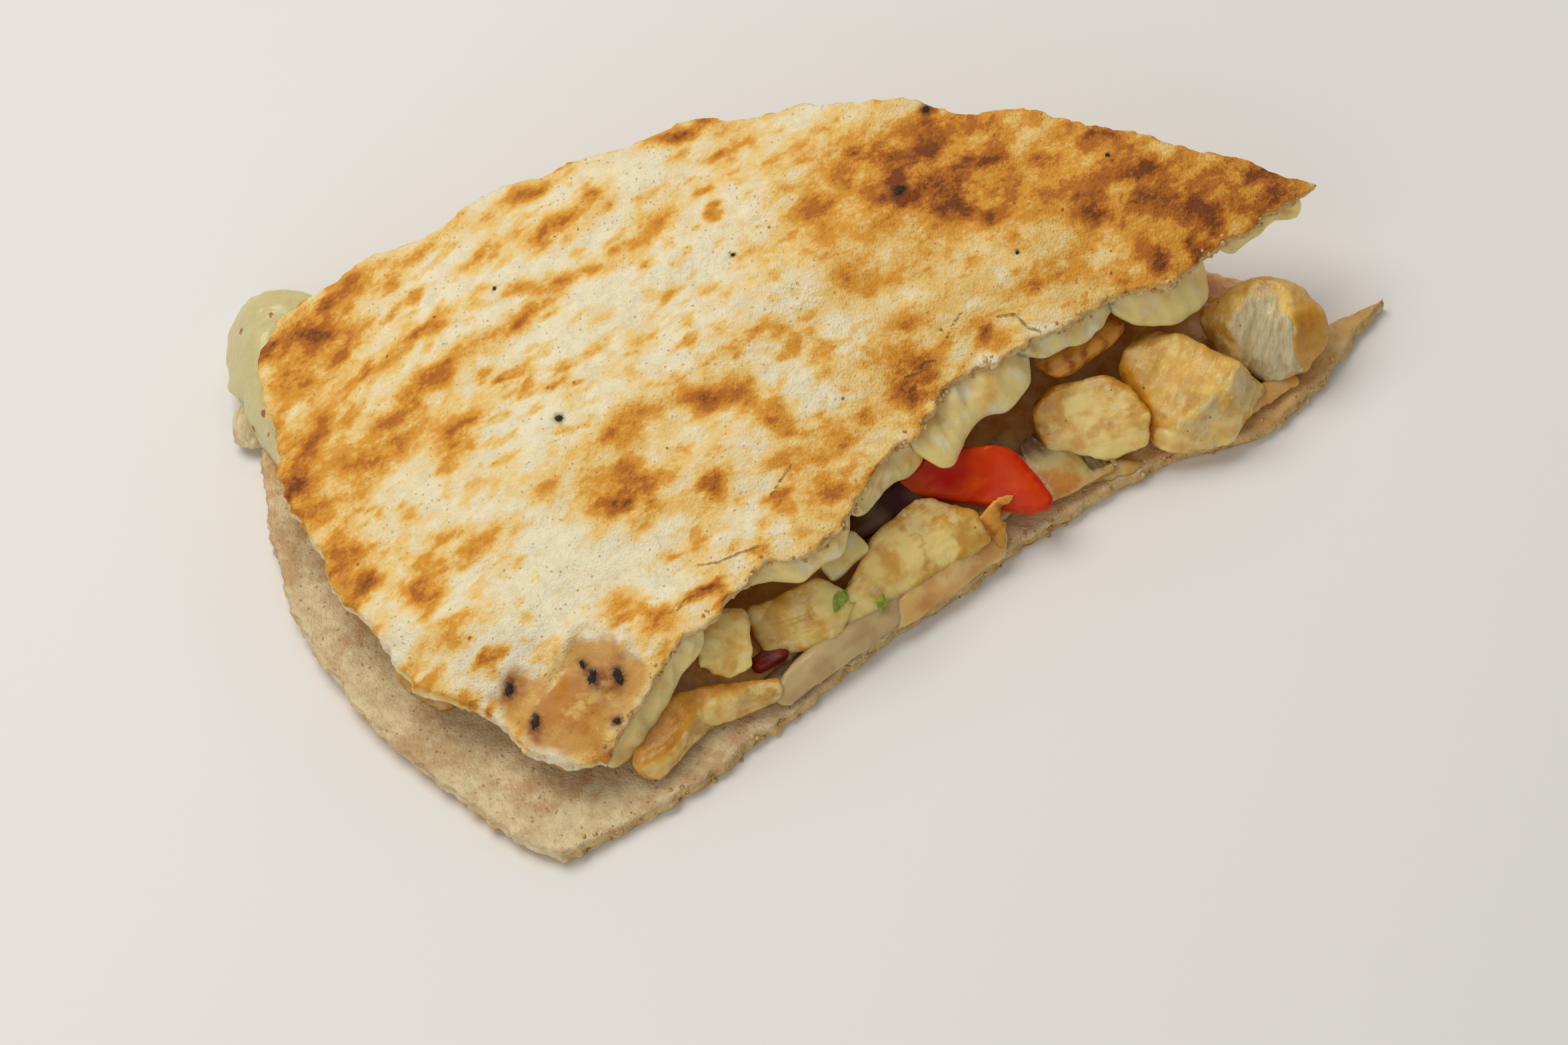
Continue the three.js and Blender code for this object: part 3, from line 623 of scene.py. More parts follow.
class Nodes:
    """Adds nodes to a shader tree, each to the right of the one before it."""

    def __init__(self, tree):
        self.tree = tree

    def add(self, kind, inputs=None, **settings):
        """A new node. inputs maps a socket's name or number to a value or to another node's output."""
        made = self.tree.nodes.new(kind)
        made.location = (180 * len(self.tree.nodes), 0)
        for name, value in settings.items():
            setattr(made, name, value)
        for key, value in (inputs or {}).items():
            self.feed(made.inputs[key], value)
        return made

    def feed(self, socket, value):
        if isinstance(value, bpy.types.NodeSocket):
            self.tree.links.new(value, socket)
        elif socket.type == "RGBA" and len(value) == 3:
            socket.default_value = (*value, 1)
        else:
            socket.default_value = value

    def math(self, operation, a, b):
        return self.add("ShaderNodeMath", {0: a, 1: b}, operation=operation).outputs[0]

    def plus(self, a, b):
        return self.math("ADD", a, b)

    def minus(self, a, b):
        return self.math("SUBTRACT", a, b)

    def times(self, a, b):
        return self.math("MULTIPLY", a, b)

    def mix(self, share, a, b):
        """Colour a where share is 0, and b where it is 1."""
        return self.add("ShaderNodeMix", {0: share, 6: a, 7: b}, data_type="RGBA").outputs[2]

    def between(self, value, low, high, to_low=0.0, to_high=1.0):
        """value taken from low..high to to_low..to_high, along a smooth curve."""
        inputs = {0: value, 1: low, 2: high, 3: to_low, 4: to_high}
        return self.add("ShaderNodeMapRange", inputs, interpolation_type="SMOOTHSTEP").outputs[0]

    def value(self, name):
        """A number that is stored with the mesh."""
        return self.add("ShaderNodeAttribute", attribute_name=name).outputs["Fac"]

    def vector(self, name):
        """Three numbers that are stored with the mesh."""
        return self.add("ShaderNodeAttribute", attribute_name=name).outputs["Vector"]

    def millimetres(self):
        """The place in the frame, in millimetres."""
        place = self.add("ShaderNodeTexCoord").outputs["Object"]
        return self.stretched(place, (METRE, METRE, METRE))

    def stretched(self, vector, scale):
        """A vector times three numbers, one along each axis."""
        return self.add("ShaderNodeVectorMath", {0: vector, 1: scale}, operation="MULTIPLY").outputs[0]

    def scaled(self, vector, scale):
        """A vector times one number."""
        return self.add("ShaderNodeVectorMath", {0: vector, "Scale": scale}, operation="SCALE").outputs[0]

    def noise(self, vector, size, detail=2.0, roughness=0.5, distortion=0.0):
        """Noise from 0 to 1 whose features are about size across."""
        inputs = {
            "Vector": vector,
            "Scale": 1 / size,
            "Detail": detail,
            "Roughness": roughness,
            "Distortion": distortion,
        }
        return self.add("ShaderNodeTexNoise", inputs).outputs[0]

    def ragged(self, vector, size, detail, roughness, amount):
        """Noise about 0. It makes uneven borders of what it is added to."""
        return self.times(self.minus(self.noise(vector, size, detail, roughness), 0.5), amount)

    def group(self, name, inputs):
        return self.add("ShaderNodeGroup", inputs, node_tree=bpy.data.node_groups[name]).outputs

    def bump(self, height, strength, distance, normal=None):
        inputs = {"Height": height, "Strength": strength, "Distance": distance}
        if normal is not None:
            inputs["Normal"] = normal
        return self.add("ShaderNodeBump", inputs).outputs[0]


def new_group(name, inputs, outputs):
    """A shader node group. inputs and outputs are (name, socket kind) or (name, kind, default)."""
    tree = bpy.data.node_groups.new(name, "ShaderNodeTree")
    for in_out, sockets in (("INPUT", inputs), ("OUTPUT", outputs)):
        for socket_name, kind, *default in sockets:
            socket = tree.interface.new_socket(socket_name, in_out=in_out, socket_type="NodeSocket" + kind)
            if default:
                socket.default_value = default[0]
    nodes = Nodes(tree)
    entry = nodes.add("NodeGroupInput").outputs
    leave = nodes.add("NodeGroupOutput").inputs
    return nodes, entry, leave


def build_grain_group():
    """Fine dry grain with pores, for dough and crumb."""
    nodes, entry, leave = new_group(
        "Dough grain",
        [("Vector", "Vector"), ("Size", "Float", 1.0)],
        [("Height", "Float"), ("Pores", "Float"), ("Mottle", "Float")],
    )
    scale = nodes.math("DIVIDE", 1.0, entry["Size"])
    place = nodes.scaled(entry["Vector"], scale)
    coarse = nodes.noise(place, 1.3, 4, 0.6)
    fine = nodes.noise(place, 0.34, 3, 0.6)
    crowd = nodes.noise(place, 3.4, 2)
    cells = nodes.add("ShaderNodeTexVoronoi", {"Vector": place, "Scale": 1 / 0.8, "Randomness": 1.0}).outputs
    hole = nodes.between(cells["Distance"], 0.1, 0.24, 1.0, 0.0)
    chance = nodes.between(nodes.times(cells["Color"], crowd), 0.28, 0.36)
    pores = nodes.times(hole, chance)
    height = nodes.plus(nodes.times(coarse, 0.6), nodes.times(fine, 0.4))
    nodes.feed(leave["Height"], nodes.minus(height, nodes.times(pores, 0.2)))
    nodes.feed(leave["Pores"], pores)
    nodes.feed(leave["Mottle"], nodes.noise(place, 2.1, 5, 0.65))


def build_toast_group():
    """The colours of toasting, from bare dough through a yellow halo to nearly burnt."""
    colours = [(name, "Color") for name in ("Bare", "Halo", "Golden", "Brown", "Dark")]
    nodes, entry, leave = new_group(
        "Toasting",
        [("Toast", "Float"), ("Vector", "Vector"), *colours],
        [("Color", "Color"), ("Toasted", "Float")],
    )
    coarse = nodes.noise(entry["Vector"], 2.3, 6, 0.58)
    patchy = nodes.between(coarse, 0.34, 0.66, 0.62, 1.36)
    haze = nodes.times(nodes.minus(coarse, 0.5), 0.26)
    fine = nodes.minus(nodes.noise(entry["Vector"], 0.36, 3, 0.65), 0.5)
    fine = nodes.times(fine, nodes.plus(nodes.times(entry["Toast"], 0.8), 0.12))
    amount = nodes.plus(nodes.times(entry["Toast"], patchy), nodes.plus(haze, fine))
    colour = nodes.mix(nodes.between(amount, 0.0, 0.26), entry["Bare"], entry["Halo"])
    colour = nodes.mix(nodes.between(amount, 0.2, 0.5), colour, entry["Golden"])
    colour = nodes.mix(nodes.between(amount, 0.48, 0.84), colour, entry["Brown"])
    colour = nodes.mix(nodes.between(amount, 0.84, 1.2), colour, entry["Dark"])
    nodes.feed(leave["Color"], colour)
    nodes.feed(leave["Toasted"], nodes.between(amount, 0.2, 0.8))


def build_speck_group():
    """Small separate specks, such as pepper, bran and herb dust."""
    nodes, entry, leave = new_group(
        "Specks",
        [("Vector", "Vector"), ("Spacing", "Float", 2.0), ("Size", "Float", 0.2), ("Share", "Float", 0.5)],
        [("Mask", "Float")],
    )
    scale = nodes.math("DIVIDE", 1.0, entry["Spacing"])
    warp = nodes.add("ShaderNodeTexNoise", {"Vector": entry["Vector"], "Scale": 1.6}).outputs["Color"]
    bent = nodes.scaled(warp, 0.5)
    place = nodes.add("ShaderNodeVectorMath", {0: entry["Vector"], 1: bent}, operation="ADD").outputs[0]
    cells = nodes.add("ShaderNodeTexVoronoi", {"Vector": place, "Scale": scale, "Randomness": 1.0}).outputs
    spread = nodes.times(cells["Distance"], entry["Spacing"])
    inside = nodes.minus(entry["Size"], spread)
    red = nodes.add("ShaderNodeSeparateColor", {0: cells["Color"]}).outputs[0]
    chosen = nodes.math("LESS_THAN", red, entry["Share"])
    nodes.feed(leave["Mask"], nodes.times(nodes.between(inside, -0.04, 0.06), chosen))


def build_fibre_group():
    """Long fibres that run along the vector's x."""
    nodes, entry, leave = new_group(
        "Fibres",
        [("Vector", "Vector"), ("Width", "Float", 0.6)],
        [("Height", "Float"), ("Strands", "Float")],
    )
    scale = nodes.math("DIVIDE", 1.0, entry["Width"])
    place = nodes.scaled(entry["Vector"], scale)
    long = nodes.stretched(place, (0.16, 1, 1))
    strands = nodes.noise(long, 1.0, 3, 0.6, 0.5)
    bundles = nodes.noise(nodes.stretched(place, (0.1, 0.35, 0.35)), 1.0, 2)
    nodes.feed(leave["Height"], nodes.plus(nodes.times(strands, 0.6), bundles))
    nodes.feed(leave["Strands"], strands)


# ------------------------------------------------------------------ materials

# Colours beside those of the settings.
SHADES = {
    "flour": "E9DFC0",
    # Painted shade for the hollows and pores of the dough's grain.
    "dough_hollow_shade": "D3BC8C",
    "dough_pore_shade": "BE8E50",
    "crust_speck": "A0682C",
    "crust_dark_speck": "7A3C14",
    "crack": "80501E",
    "inner_mottle": "D2B78C",
    "inner_cloud": "C69C6C",
    "bran": "9A6E44",
    # Painted shade for the hollows of the torn edge's grain.
    "crumb_hollow_shade": "C99A5C",
    "sauce_deep": "B8720F",
    "sauce": "CC9440",
    "sauce_pale": "DAAE58",
    "sauce_tint": "D69C40",
    # A juice stain and painted shade for the inside under the filling.
    "juice_deep_and_shade": "6E4316",
    "juice": "A97A38",
    "singed": "8A440E",
    "charred": "2E1A0C",
    "core_fibre": "C4AE7C",
    "meat_mottle": "CE9E44",
    "meat_cream": "F2DC9C",
    "meat_fibre": "C08C38",
    "meat_stain": "C07E20",
    "black_pepper": "50300E",
    "cheese_film": "F6DA88",
    "cheese_film_oil": "E0AE52",
    "cheese_pale": "FFEBC8",
    "cheese_juice_deep": "CC8C3A",
    "cheese_juice": "E8B870",
    "cheese_fleck": "9A6428",
    "pepper_bright": "D85004",
    # Painted shade: the chip under the hanging chicken is a darker pepper.
    "pepper_shaded": "6A1008",
    "pepper_shaded_light": "9A200E",
    "onion_clear": "DCC692",
    "onion_vein": "C8AE7C",
    "glaze": "D89A3A",
    "glaze_deep": "A45A10",
    "char_light": "4A3018",
    "herb_light": "B8C04A",
    "crumb_toasted": "B67E38",
    "floor_cloud": "D8D6D2",
}


def shade(name):
    return linear(SHADES[name])


def new_material(name):
    material = bpy.data.materials.new(name)
    material.use_nodes = True
    material.node_tree.nodes.clear()
    return material, Nodes(material.node_tree)


def finish_material(nodes, colour, roughness, normal, **constants):
    """Puts the Principled shader at the end. constants are sockets that are the same all over."""
    inputs = {"Base Color": colour, "Roughness": roughness, "Normal": normal}
    inputs.update({name.replace("_", " ").title().replace("Ior", "IOR"): v for name, v in constants.items()})
    shader = nodes.add("ShaderNodeBsdfPrincipled", inputs)
    nodes.add("ShaderNodeOutputMaterial", {"Surface": shader.outputs[0]})


def tortilla_material(name, settings):
    """Toasted outside, bare inside and torn edge.

    Reads toast, inner, crumb, soaked, singed, charred, tinted, stained and crack from the mesh. stained is
    partly a juice stain and partly painted shade under the filling."""
    material, nodes = new_material(name)
    place = nodes.millimetres()
    rolled = nodes.add("ShaderNodeVectorRotate", {"Vector": place, "Angle": -math.radians(STREAK_HEADING)})
    long = nodes.stretched(rolled.outputs[0], (0.7, 1, 1))
    grain = nodes.group("Dough grain", {"Vector": place, "Size": 0.8})
    inner, crumb, soaked = nodes.value("inner"), nodes.value("crumb"), nodes.value("soaked")

    bare = nodes.mix(nodes.between(grain["Mottle"], 0.42, 0.7), settings.dough, shade("flour"))
    # Painted shade: the bare dough is darker in the hollows of its grain and in its pores.
    bare = nodes.mix(nodes.between(grain["Height"], 0.25, 0.55, 0.45, 0.0), bare, shade("dough_hollow_shade"))
    bare = nodes.mix(nodes.times(grain["Pores"], 0.5), bare, shade("dough_pore_shade"))
    toast = {
        "Toast": nodes.value("toast"),
        "Vector": long,
        "Bare": bare,
        "Halo": settings.halo,
        "Golden": settings.golden,
        "Brown": settings.brown,
        "Dark": settings.dark,
    }
    toasted = nodes.group("Toasting", toast)
    small = nodes.group("Specks", {"Vector": place, "Spacing": 0.7, "Size": 0.12, "Share": 0.3})
    large = nodes.group("Specks", {"Vector": place, "Spacing": 2.4, "Size": 0.2, "Share": 0.24})
    outside = nodes.mix(nodes.times(small["Mask"], 0.5), toasted["Color"], shade("crust_speck"))
    outside = nodes.mix(nodes.times(large["Mask"], 0.75), outside, shade("crust_dark_speck"))
    ragged = nodes.ragged(place, 0.5, 3, 0.5, 0.3)
    crack = nodes.between(nodes.plus(nodes.value("crack"), ragged), 0.04, 0.2, 1.0, 0.0)
    outside = nodes.mix(nodes.times(crack, 0.7), outside, shade("crack"))

    bran = nodes.group("Specks", {"Vector": place, "Spacing": 0.8, "Size": 0.17, "Share": 0.45})
    inside = nodes.mix(nodes.between(grain["Mottle"], 0.35, 0.7), settings.inner, shade("inner_mottle"))
    clouds = nodes.between(nodes.noise(place, 4.4, 5, 0.68), 0.44, 0.62, 0.0, 0.75)
    inside = nodes.mix(clouds, inside, shade("inner_cloud"))
    inside = nodes.mix(nodes.times(bran["Mask"], 0.6), inside, shade("bran"))
    # Painted shade: the torn edge is darker in the hollows of its grain.
    torn = nodes.mix(nodes.between(grain["Height"], 0.35, 0.6), shade("crumb_hollow_shade"), settings.crumb)
    cloud = nodes.noise(place, 4.6, 4, 0.55)
    sauce = nodes.mix(nodes.between(cloud, 0.4, 0.56), shade("sauce_deep"), shade("sauce"))
    sauce = nodes.mix(nodes.between(nodes.noise(place, 3.1, 4, 0.62), 0.5, 0.64), sauce, shade("sauce_pale"))
    # Where stained is set, the inside is darker brown under the filling: partly a juice stain, partly painted
    # shade inside the hollow.
    pooled = nodes.between(nodes.noise(place, 1.9, 4, 0.6), 0.4, 0.65)
    juice = nodes.mix(pooled, shade("juice_deep_and_shade"), shade("juice"))
    inside = nodes.mix(nodes.times(nodes.value("tinted"), 0.7), inside, shade("sauce_tint"))
    inside = nodes.mix(nodes.times(nodes.value("stained"), 0.9), inside, juice)
    colour = nodes.mix(inner, outside, inside)
    colour = nodes.mix(crumb, colour, torn)
    colour = nodes.mix(nodes.times(soaked, 0.92), colour, sauce)
    blotchy = nodes.between(nodes.noise(place, 0.9, 4), 0.3, 0.6, 0.35, 1.0)
    colour = nodes.mix(nodes.times(nodes.value("singed"), blotchy), colour, shade("singed"))
    burnt = nodes.between(nodes.noise(place, 0.45, 4), 0.3, 0.6, 0.6, 1.0)
    colour = nodes.mix(nodes.times(nodes.value("charred"), burnt), colour, shade("charred"))
    rough = nodes.minus(0.82, nodes.times(toasted["Toasted"], 0.18))
    rough = nodes.minus(rough, nodes.times(soaked, 0.34))
    strength = nodes.minus(1.0, nodes.times(soaked, 0.6))
    height = nodes.times(grain["Height"], strength)
    height = nodes.minus(height, nodes.times(crack, 0.3))
    normal = nodes.bump(height, 0.8, 0.0006)
    finish_material(
        nodes,
        colour,
        rough,
        normal,
        specular_ior_level=0.3,
        subsurface_weight=0.12,
        subsurface_radius=(1.0, 0.5, 0.25),
        subsurface_scale=0.0012,
    )
    return material


def chicken_material(settings):
    """Fibrous pale cut faces and a seared, seasoned outside. Reads seared, coated and along from the mesh.

    seared is under 0 in the middle of a fresh cut, 0 on plain meat and 1 where it is well browned.
    coated is 1 under a thin film of melted cheese."""
    material, nodes = new_material("Chicken")
    place = nodes.millimetres()
    fibres = nodes.group("Fibres", {"Vector": nodes.vector("along"), "Width": 0.55})
    core = nodes.mix(nodes.between(fibres["Strands"], 0.35, 0.65), shade("core_fibre"), settings.core)
    mottle = nodes.noise(place, 3.0, 4, 0.55)
    pale = nodes.mix(nodes.between(mottle, 0.34, 0.62), shade("meat_mottle"), settings.chicken)
    creamy = nodes.between(nodes.noise(place, 2.3, 4, 0.6), 0.5, 0.6, 0.0, 0.7)
    pale = nodes.mix(creamy, pale, shade("meat_cream"))
    ragged = nodes.ragged(place, 2.0, 5, 0.6, 0.8)
    amount = nodes.plus(nodes.value("seared"), ragged)
    fresh = nodes.plus(nodes.value("seared"), nodes.times(ragged, 0.22))
    pale = nodes.mix(nodes.between(fibres["Strands"], 0.5, 0.7, 0.0, 0.45), pale, shade("meat_fibre"))
    colour = nodes.mix(nodes.between(fresh, -0.12, 0.14), core, pale)
    colour = nodes.mix(nodes.between(amount, 0.12, 0.6), colour, settings.sauced)
    colour = nodes.mix(nodes.between(amount, 0.5, 1.0), colour, settings.seared)
    colour = nodes.mix(nodes.between(amount, 0.95, 1.3), colour, settings.seared_dark)
    stain = nodes.between(nodes.noise(place, 1.9, 3, 0.5), 0.56, 0.76, 0.0, 0.6)
    stain = nodes.times(stain, nodes.between(fresh, -0.1, 0.2))
    colour = nodes.mix(stain, colour, shade("meat_stain"))
    pepper = nodes.group("Specks", {"Vector": place, "Spacing": 1.1, "Size": 0.13, "Share": 0.34})
    colour = nodes.mix(nodes.times(pepper["Mask"], 0.75), colour, shade("black_pepper"))
    film = nodes.between(nodes.plus(nodes.value("coated"), ragged), 0.36, 0.62)
    oily = nodes.between(nodes.noise(place, 2.6, 3), 0.45, 0.7)
    colour = nodes.mix(film, colour, nodes.mix(oily, shade("cheese_film"), shade("cheese_film_oil")))
    rough = nodes.between(mottle, 0.3, 0.7, 0.18, 0.36)
    bare = nodes.minus(1.0, nodes.times(film, 0.85))
    cut = nodes.times(nodes.between(fresh, -0.2, 0.2, 1.0, 0.5), bare)
    normal = nodes.bump(nodes.times(fibres["Height"], cut), 0.6, 0.0005)
    normal = nodes.bump(nodes.noise(place, 1.1, 5, 0.6), 0.32, 0.0006, normal)
    finish_material(
        nodes,
        colour,
        rough,
        normal,
        specular_ior_level=0.5,
        subsurface_weight=0.5,
        subsurface_radius=(1.0, 0.66, 0.4),
        subsurface_scale=0.0022,
    )
    return material


def cheese_material(settings):
    """Soft, oily melted cheese. Reads flecked and juicy from the mesh.

    flecked is 1 towards the rim, where the cheese has browned flecks and a darker, greener colour that is
    partly painted shade, and juicy 1 where the filling's juice has tinted it."""
    material, nodes = new_material("Melted cheese")
    place = nodes.millimetres()
    oil = nodes.between(nodes.noise(place, 3.4, 4, 0.6), 0.48, 0.74)
    milky = nodes.between(nodes.noise(place, 2.2, 3), 0.5, 0.75)
    pale = nodes.mix(milky, settings.cheese, shade("cheese_pale"))
    colour = nodes.mix(nodes.times(oil, 0.65), pale, settings.cheese_oil)
    # Towards the rim the cheese is darker and greener: partly its own colour, partly painted shade.
    colour = nodes.mix(nodes.value("flecked"), colour, settings.rim_cheese_and_shade)
    pooled = nodes.between(nodes.noise(place, 2.4, 4), 0.4, 0.65)
    juice = nodes.mix(pooled, shade("cheese_juice_deep"), shade("cheese_juice"))
    colour = nodes.mix(nodes.value("juicy"), colour, juice)
    flecks = nodes.group("Specks", {"Vector": place, "Spacing": 2.0, "Size": 0.42, "Share": 0.5})
    browned = nodes.times(flecks["Mask"], nodes.value("flecked"))
    colour = nodes.mix(browned, colour, shade("cheese_fleck"))
    rough = nodes.between(nodes.noise(place, 1.4, 3), 0.3, 0.7, 0.2, 0.36)
    normal = nodes.bump(nodes.noise(place, 1.6, 4, 0.5), 0.4, 0.0006)
    finish_material(
        nodes,
        colour,
        rough,
        normal,
        specular_ior_level=0.5,
        subsurface_weight=0.8,
        subsurface_radius=(1.0, 0.75, 0.45),
        subsurface_scale=0.003,
    )
    return material


def pepper_material(settings):
    """Glossy cooked red pepper. Reads skin from the mesh."""
    material, nodes = new_material("Red pepper")
    place = nodes.millimetres()
    fibres = nodes.group("Fibres", {"Vector": nodes.vector("along"), "Width": 0.9})
    bright = nodes.between(nodes.noise(place, 2.6, 3), 0.45, 0.75)
    flesh = nodes.mix(bright, settings.pepper, shade("pepper_bright"))
    colour = nodes.mix(nodes.value("skin"), flesh, settings.pepper_skin)
    rough = nodes.between(fibres["Strands"], 0.2, 0.8, 0.16, 0.34)
    normal = nodes.bump(fibres["Height"], 0.3, 0.0003)
    finish_material(
        nodes,
        colour,
        rough,
        normal,
        specular_ior_level=0.16,
        coat_weight=0.04,
        coat_roughness=0.15,
        subsurface_weight=0.25,
        subsurface_radius=(1.0, 0.2, 0.05),
        subsurface_scale=0.0012,
    )
    return material


def onion_material(settings):
    """Soft cooked onion with long veins. Reads red and glazed from the mesh."""
    material, nodes = new_material("Onion")
    place = nodes.millimetres()
    fibres = nodes.group("Fibres", {"Vector": nodes.vector("along"), "Width": 1.3})
    clear = nodes.between(nodes.noise(place, 2.8, 3), 0.42, 0.62)
    flesh = nodes.mix(nodes.times(clear, 0.6), settings.onion, shade("onion_clear"))
    colour = nodes.mix(nodes.between(fibres["Strands"], 0.3, 0.9, 0.0, 0.6), flesh, shade("onion_vein"))
    colour = nodes.mix(nodes.value("red"), colour, settings.onion_red)
    deep = nodes.between(nodes.noise(place, 1.4, 3), 0.4, 0.7)
    glaze = nodes.mix(deep, shade("glaze"), shade("glaze_deep"))
    colour = nodes.mix(nodes.value("glazed"), colour, glaze)
    rough = nodes.between(fibres["Strands"], 0.2, 0.8, 0.2, 0.38)
    normal = nodes.bump(fibres["Height"], 0.08, 0.0003)
    finish_material(
        nodes,
        colour,
        rough,
        normal,
        specular_ior_level=0.3,
        coat_weight=0.08,
        coat_roughness=0.2,
        subsurface_weight=0.5,
        subsurface_radius=(1.0, 0.7, 0.5),
        subsurface_scale=0.002,
    )
    return material


def plain_food_material(name, dark, light, roughness, size):
    """A mottled material of two colours, for small bits."""
    material, nodes = new_material(name)
    place = nodes.millimetres()
    mottle = nodes.noise(place, size, 4, 0.6)
    colour = nodes.mix(nodes.between(mottle, 0.35, 0.7), dark, light)
    rough = nodes.between(mottle, 0.2, 0.8, roughness, roughness + 0.15)
    finish_material(nodes, colour, rough, nodes.bump(mottle, 0.5, 0.0002), specular_ior_level=0.4)
    return material


def floor_material(settings):
    material, nodes = new_material("Floor")
    place = nodes.millimetres()
    cloud = nodes.between(nodes.noise(place, 160, 2), 0.2, 0.8, 0.0, 0.06)
    colour = nodes.mix(cloud, settings.floor, shade("floor_cloud"))
    normal = nodes.bump(nodes.noise(place, 0.8, 3), 0.05, 0.0001)
    finish_material(nodes, colour, 0.6, normal, specular_ior_level=0.3)
    return material


GROUPS = (build_grain_group, build_toast_group, build_speck_group, build_fibre_group)


# ------------------------------------------------------------------ the filling's pieces

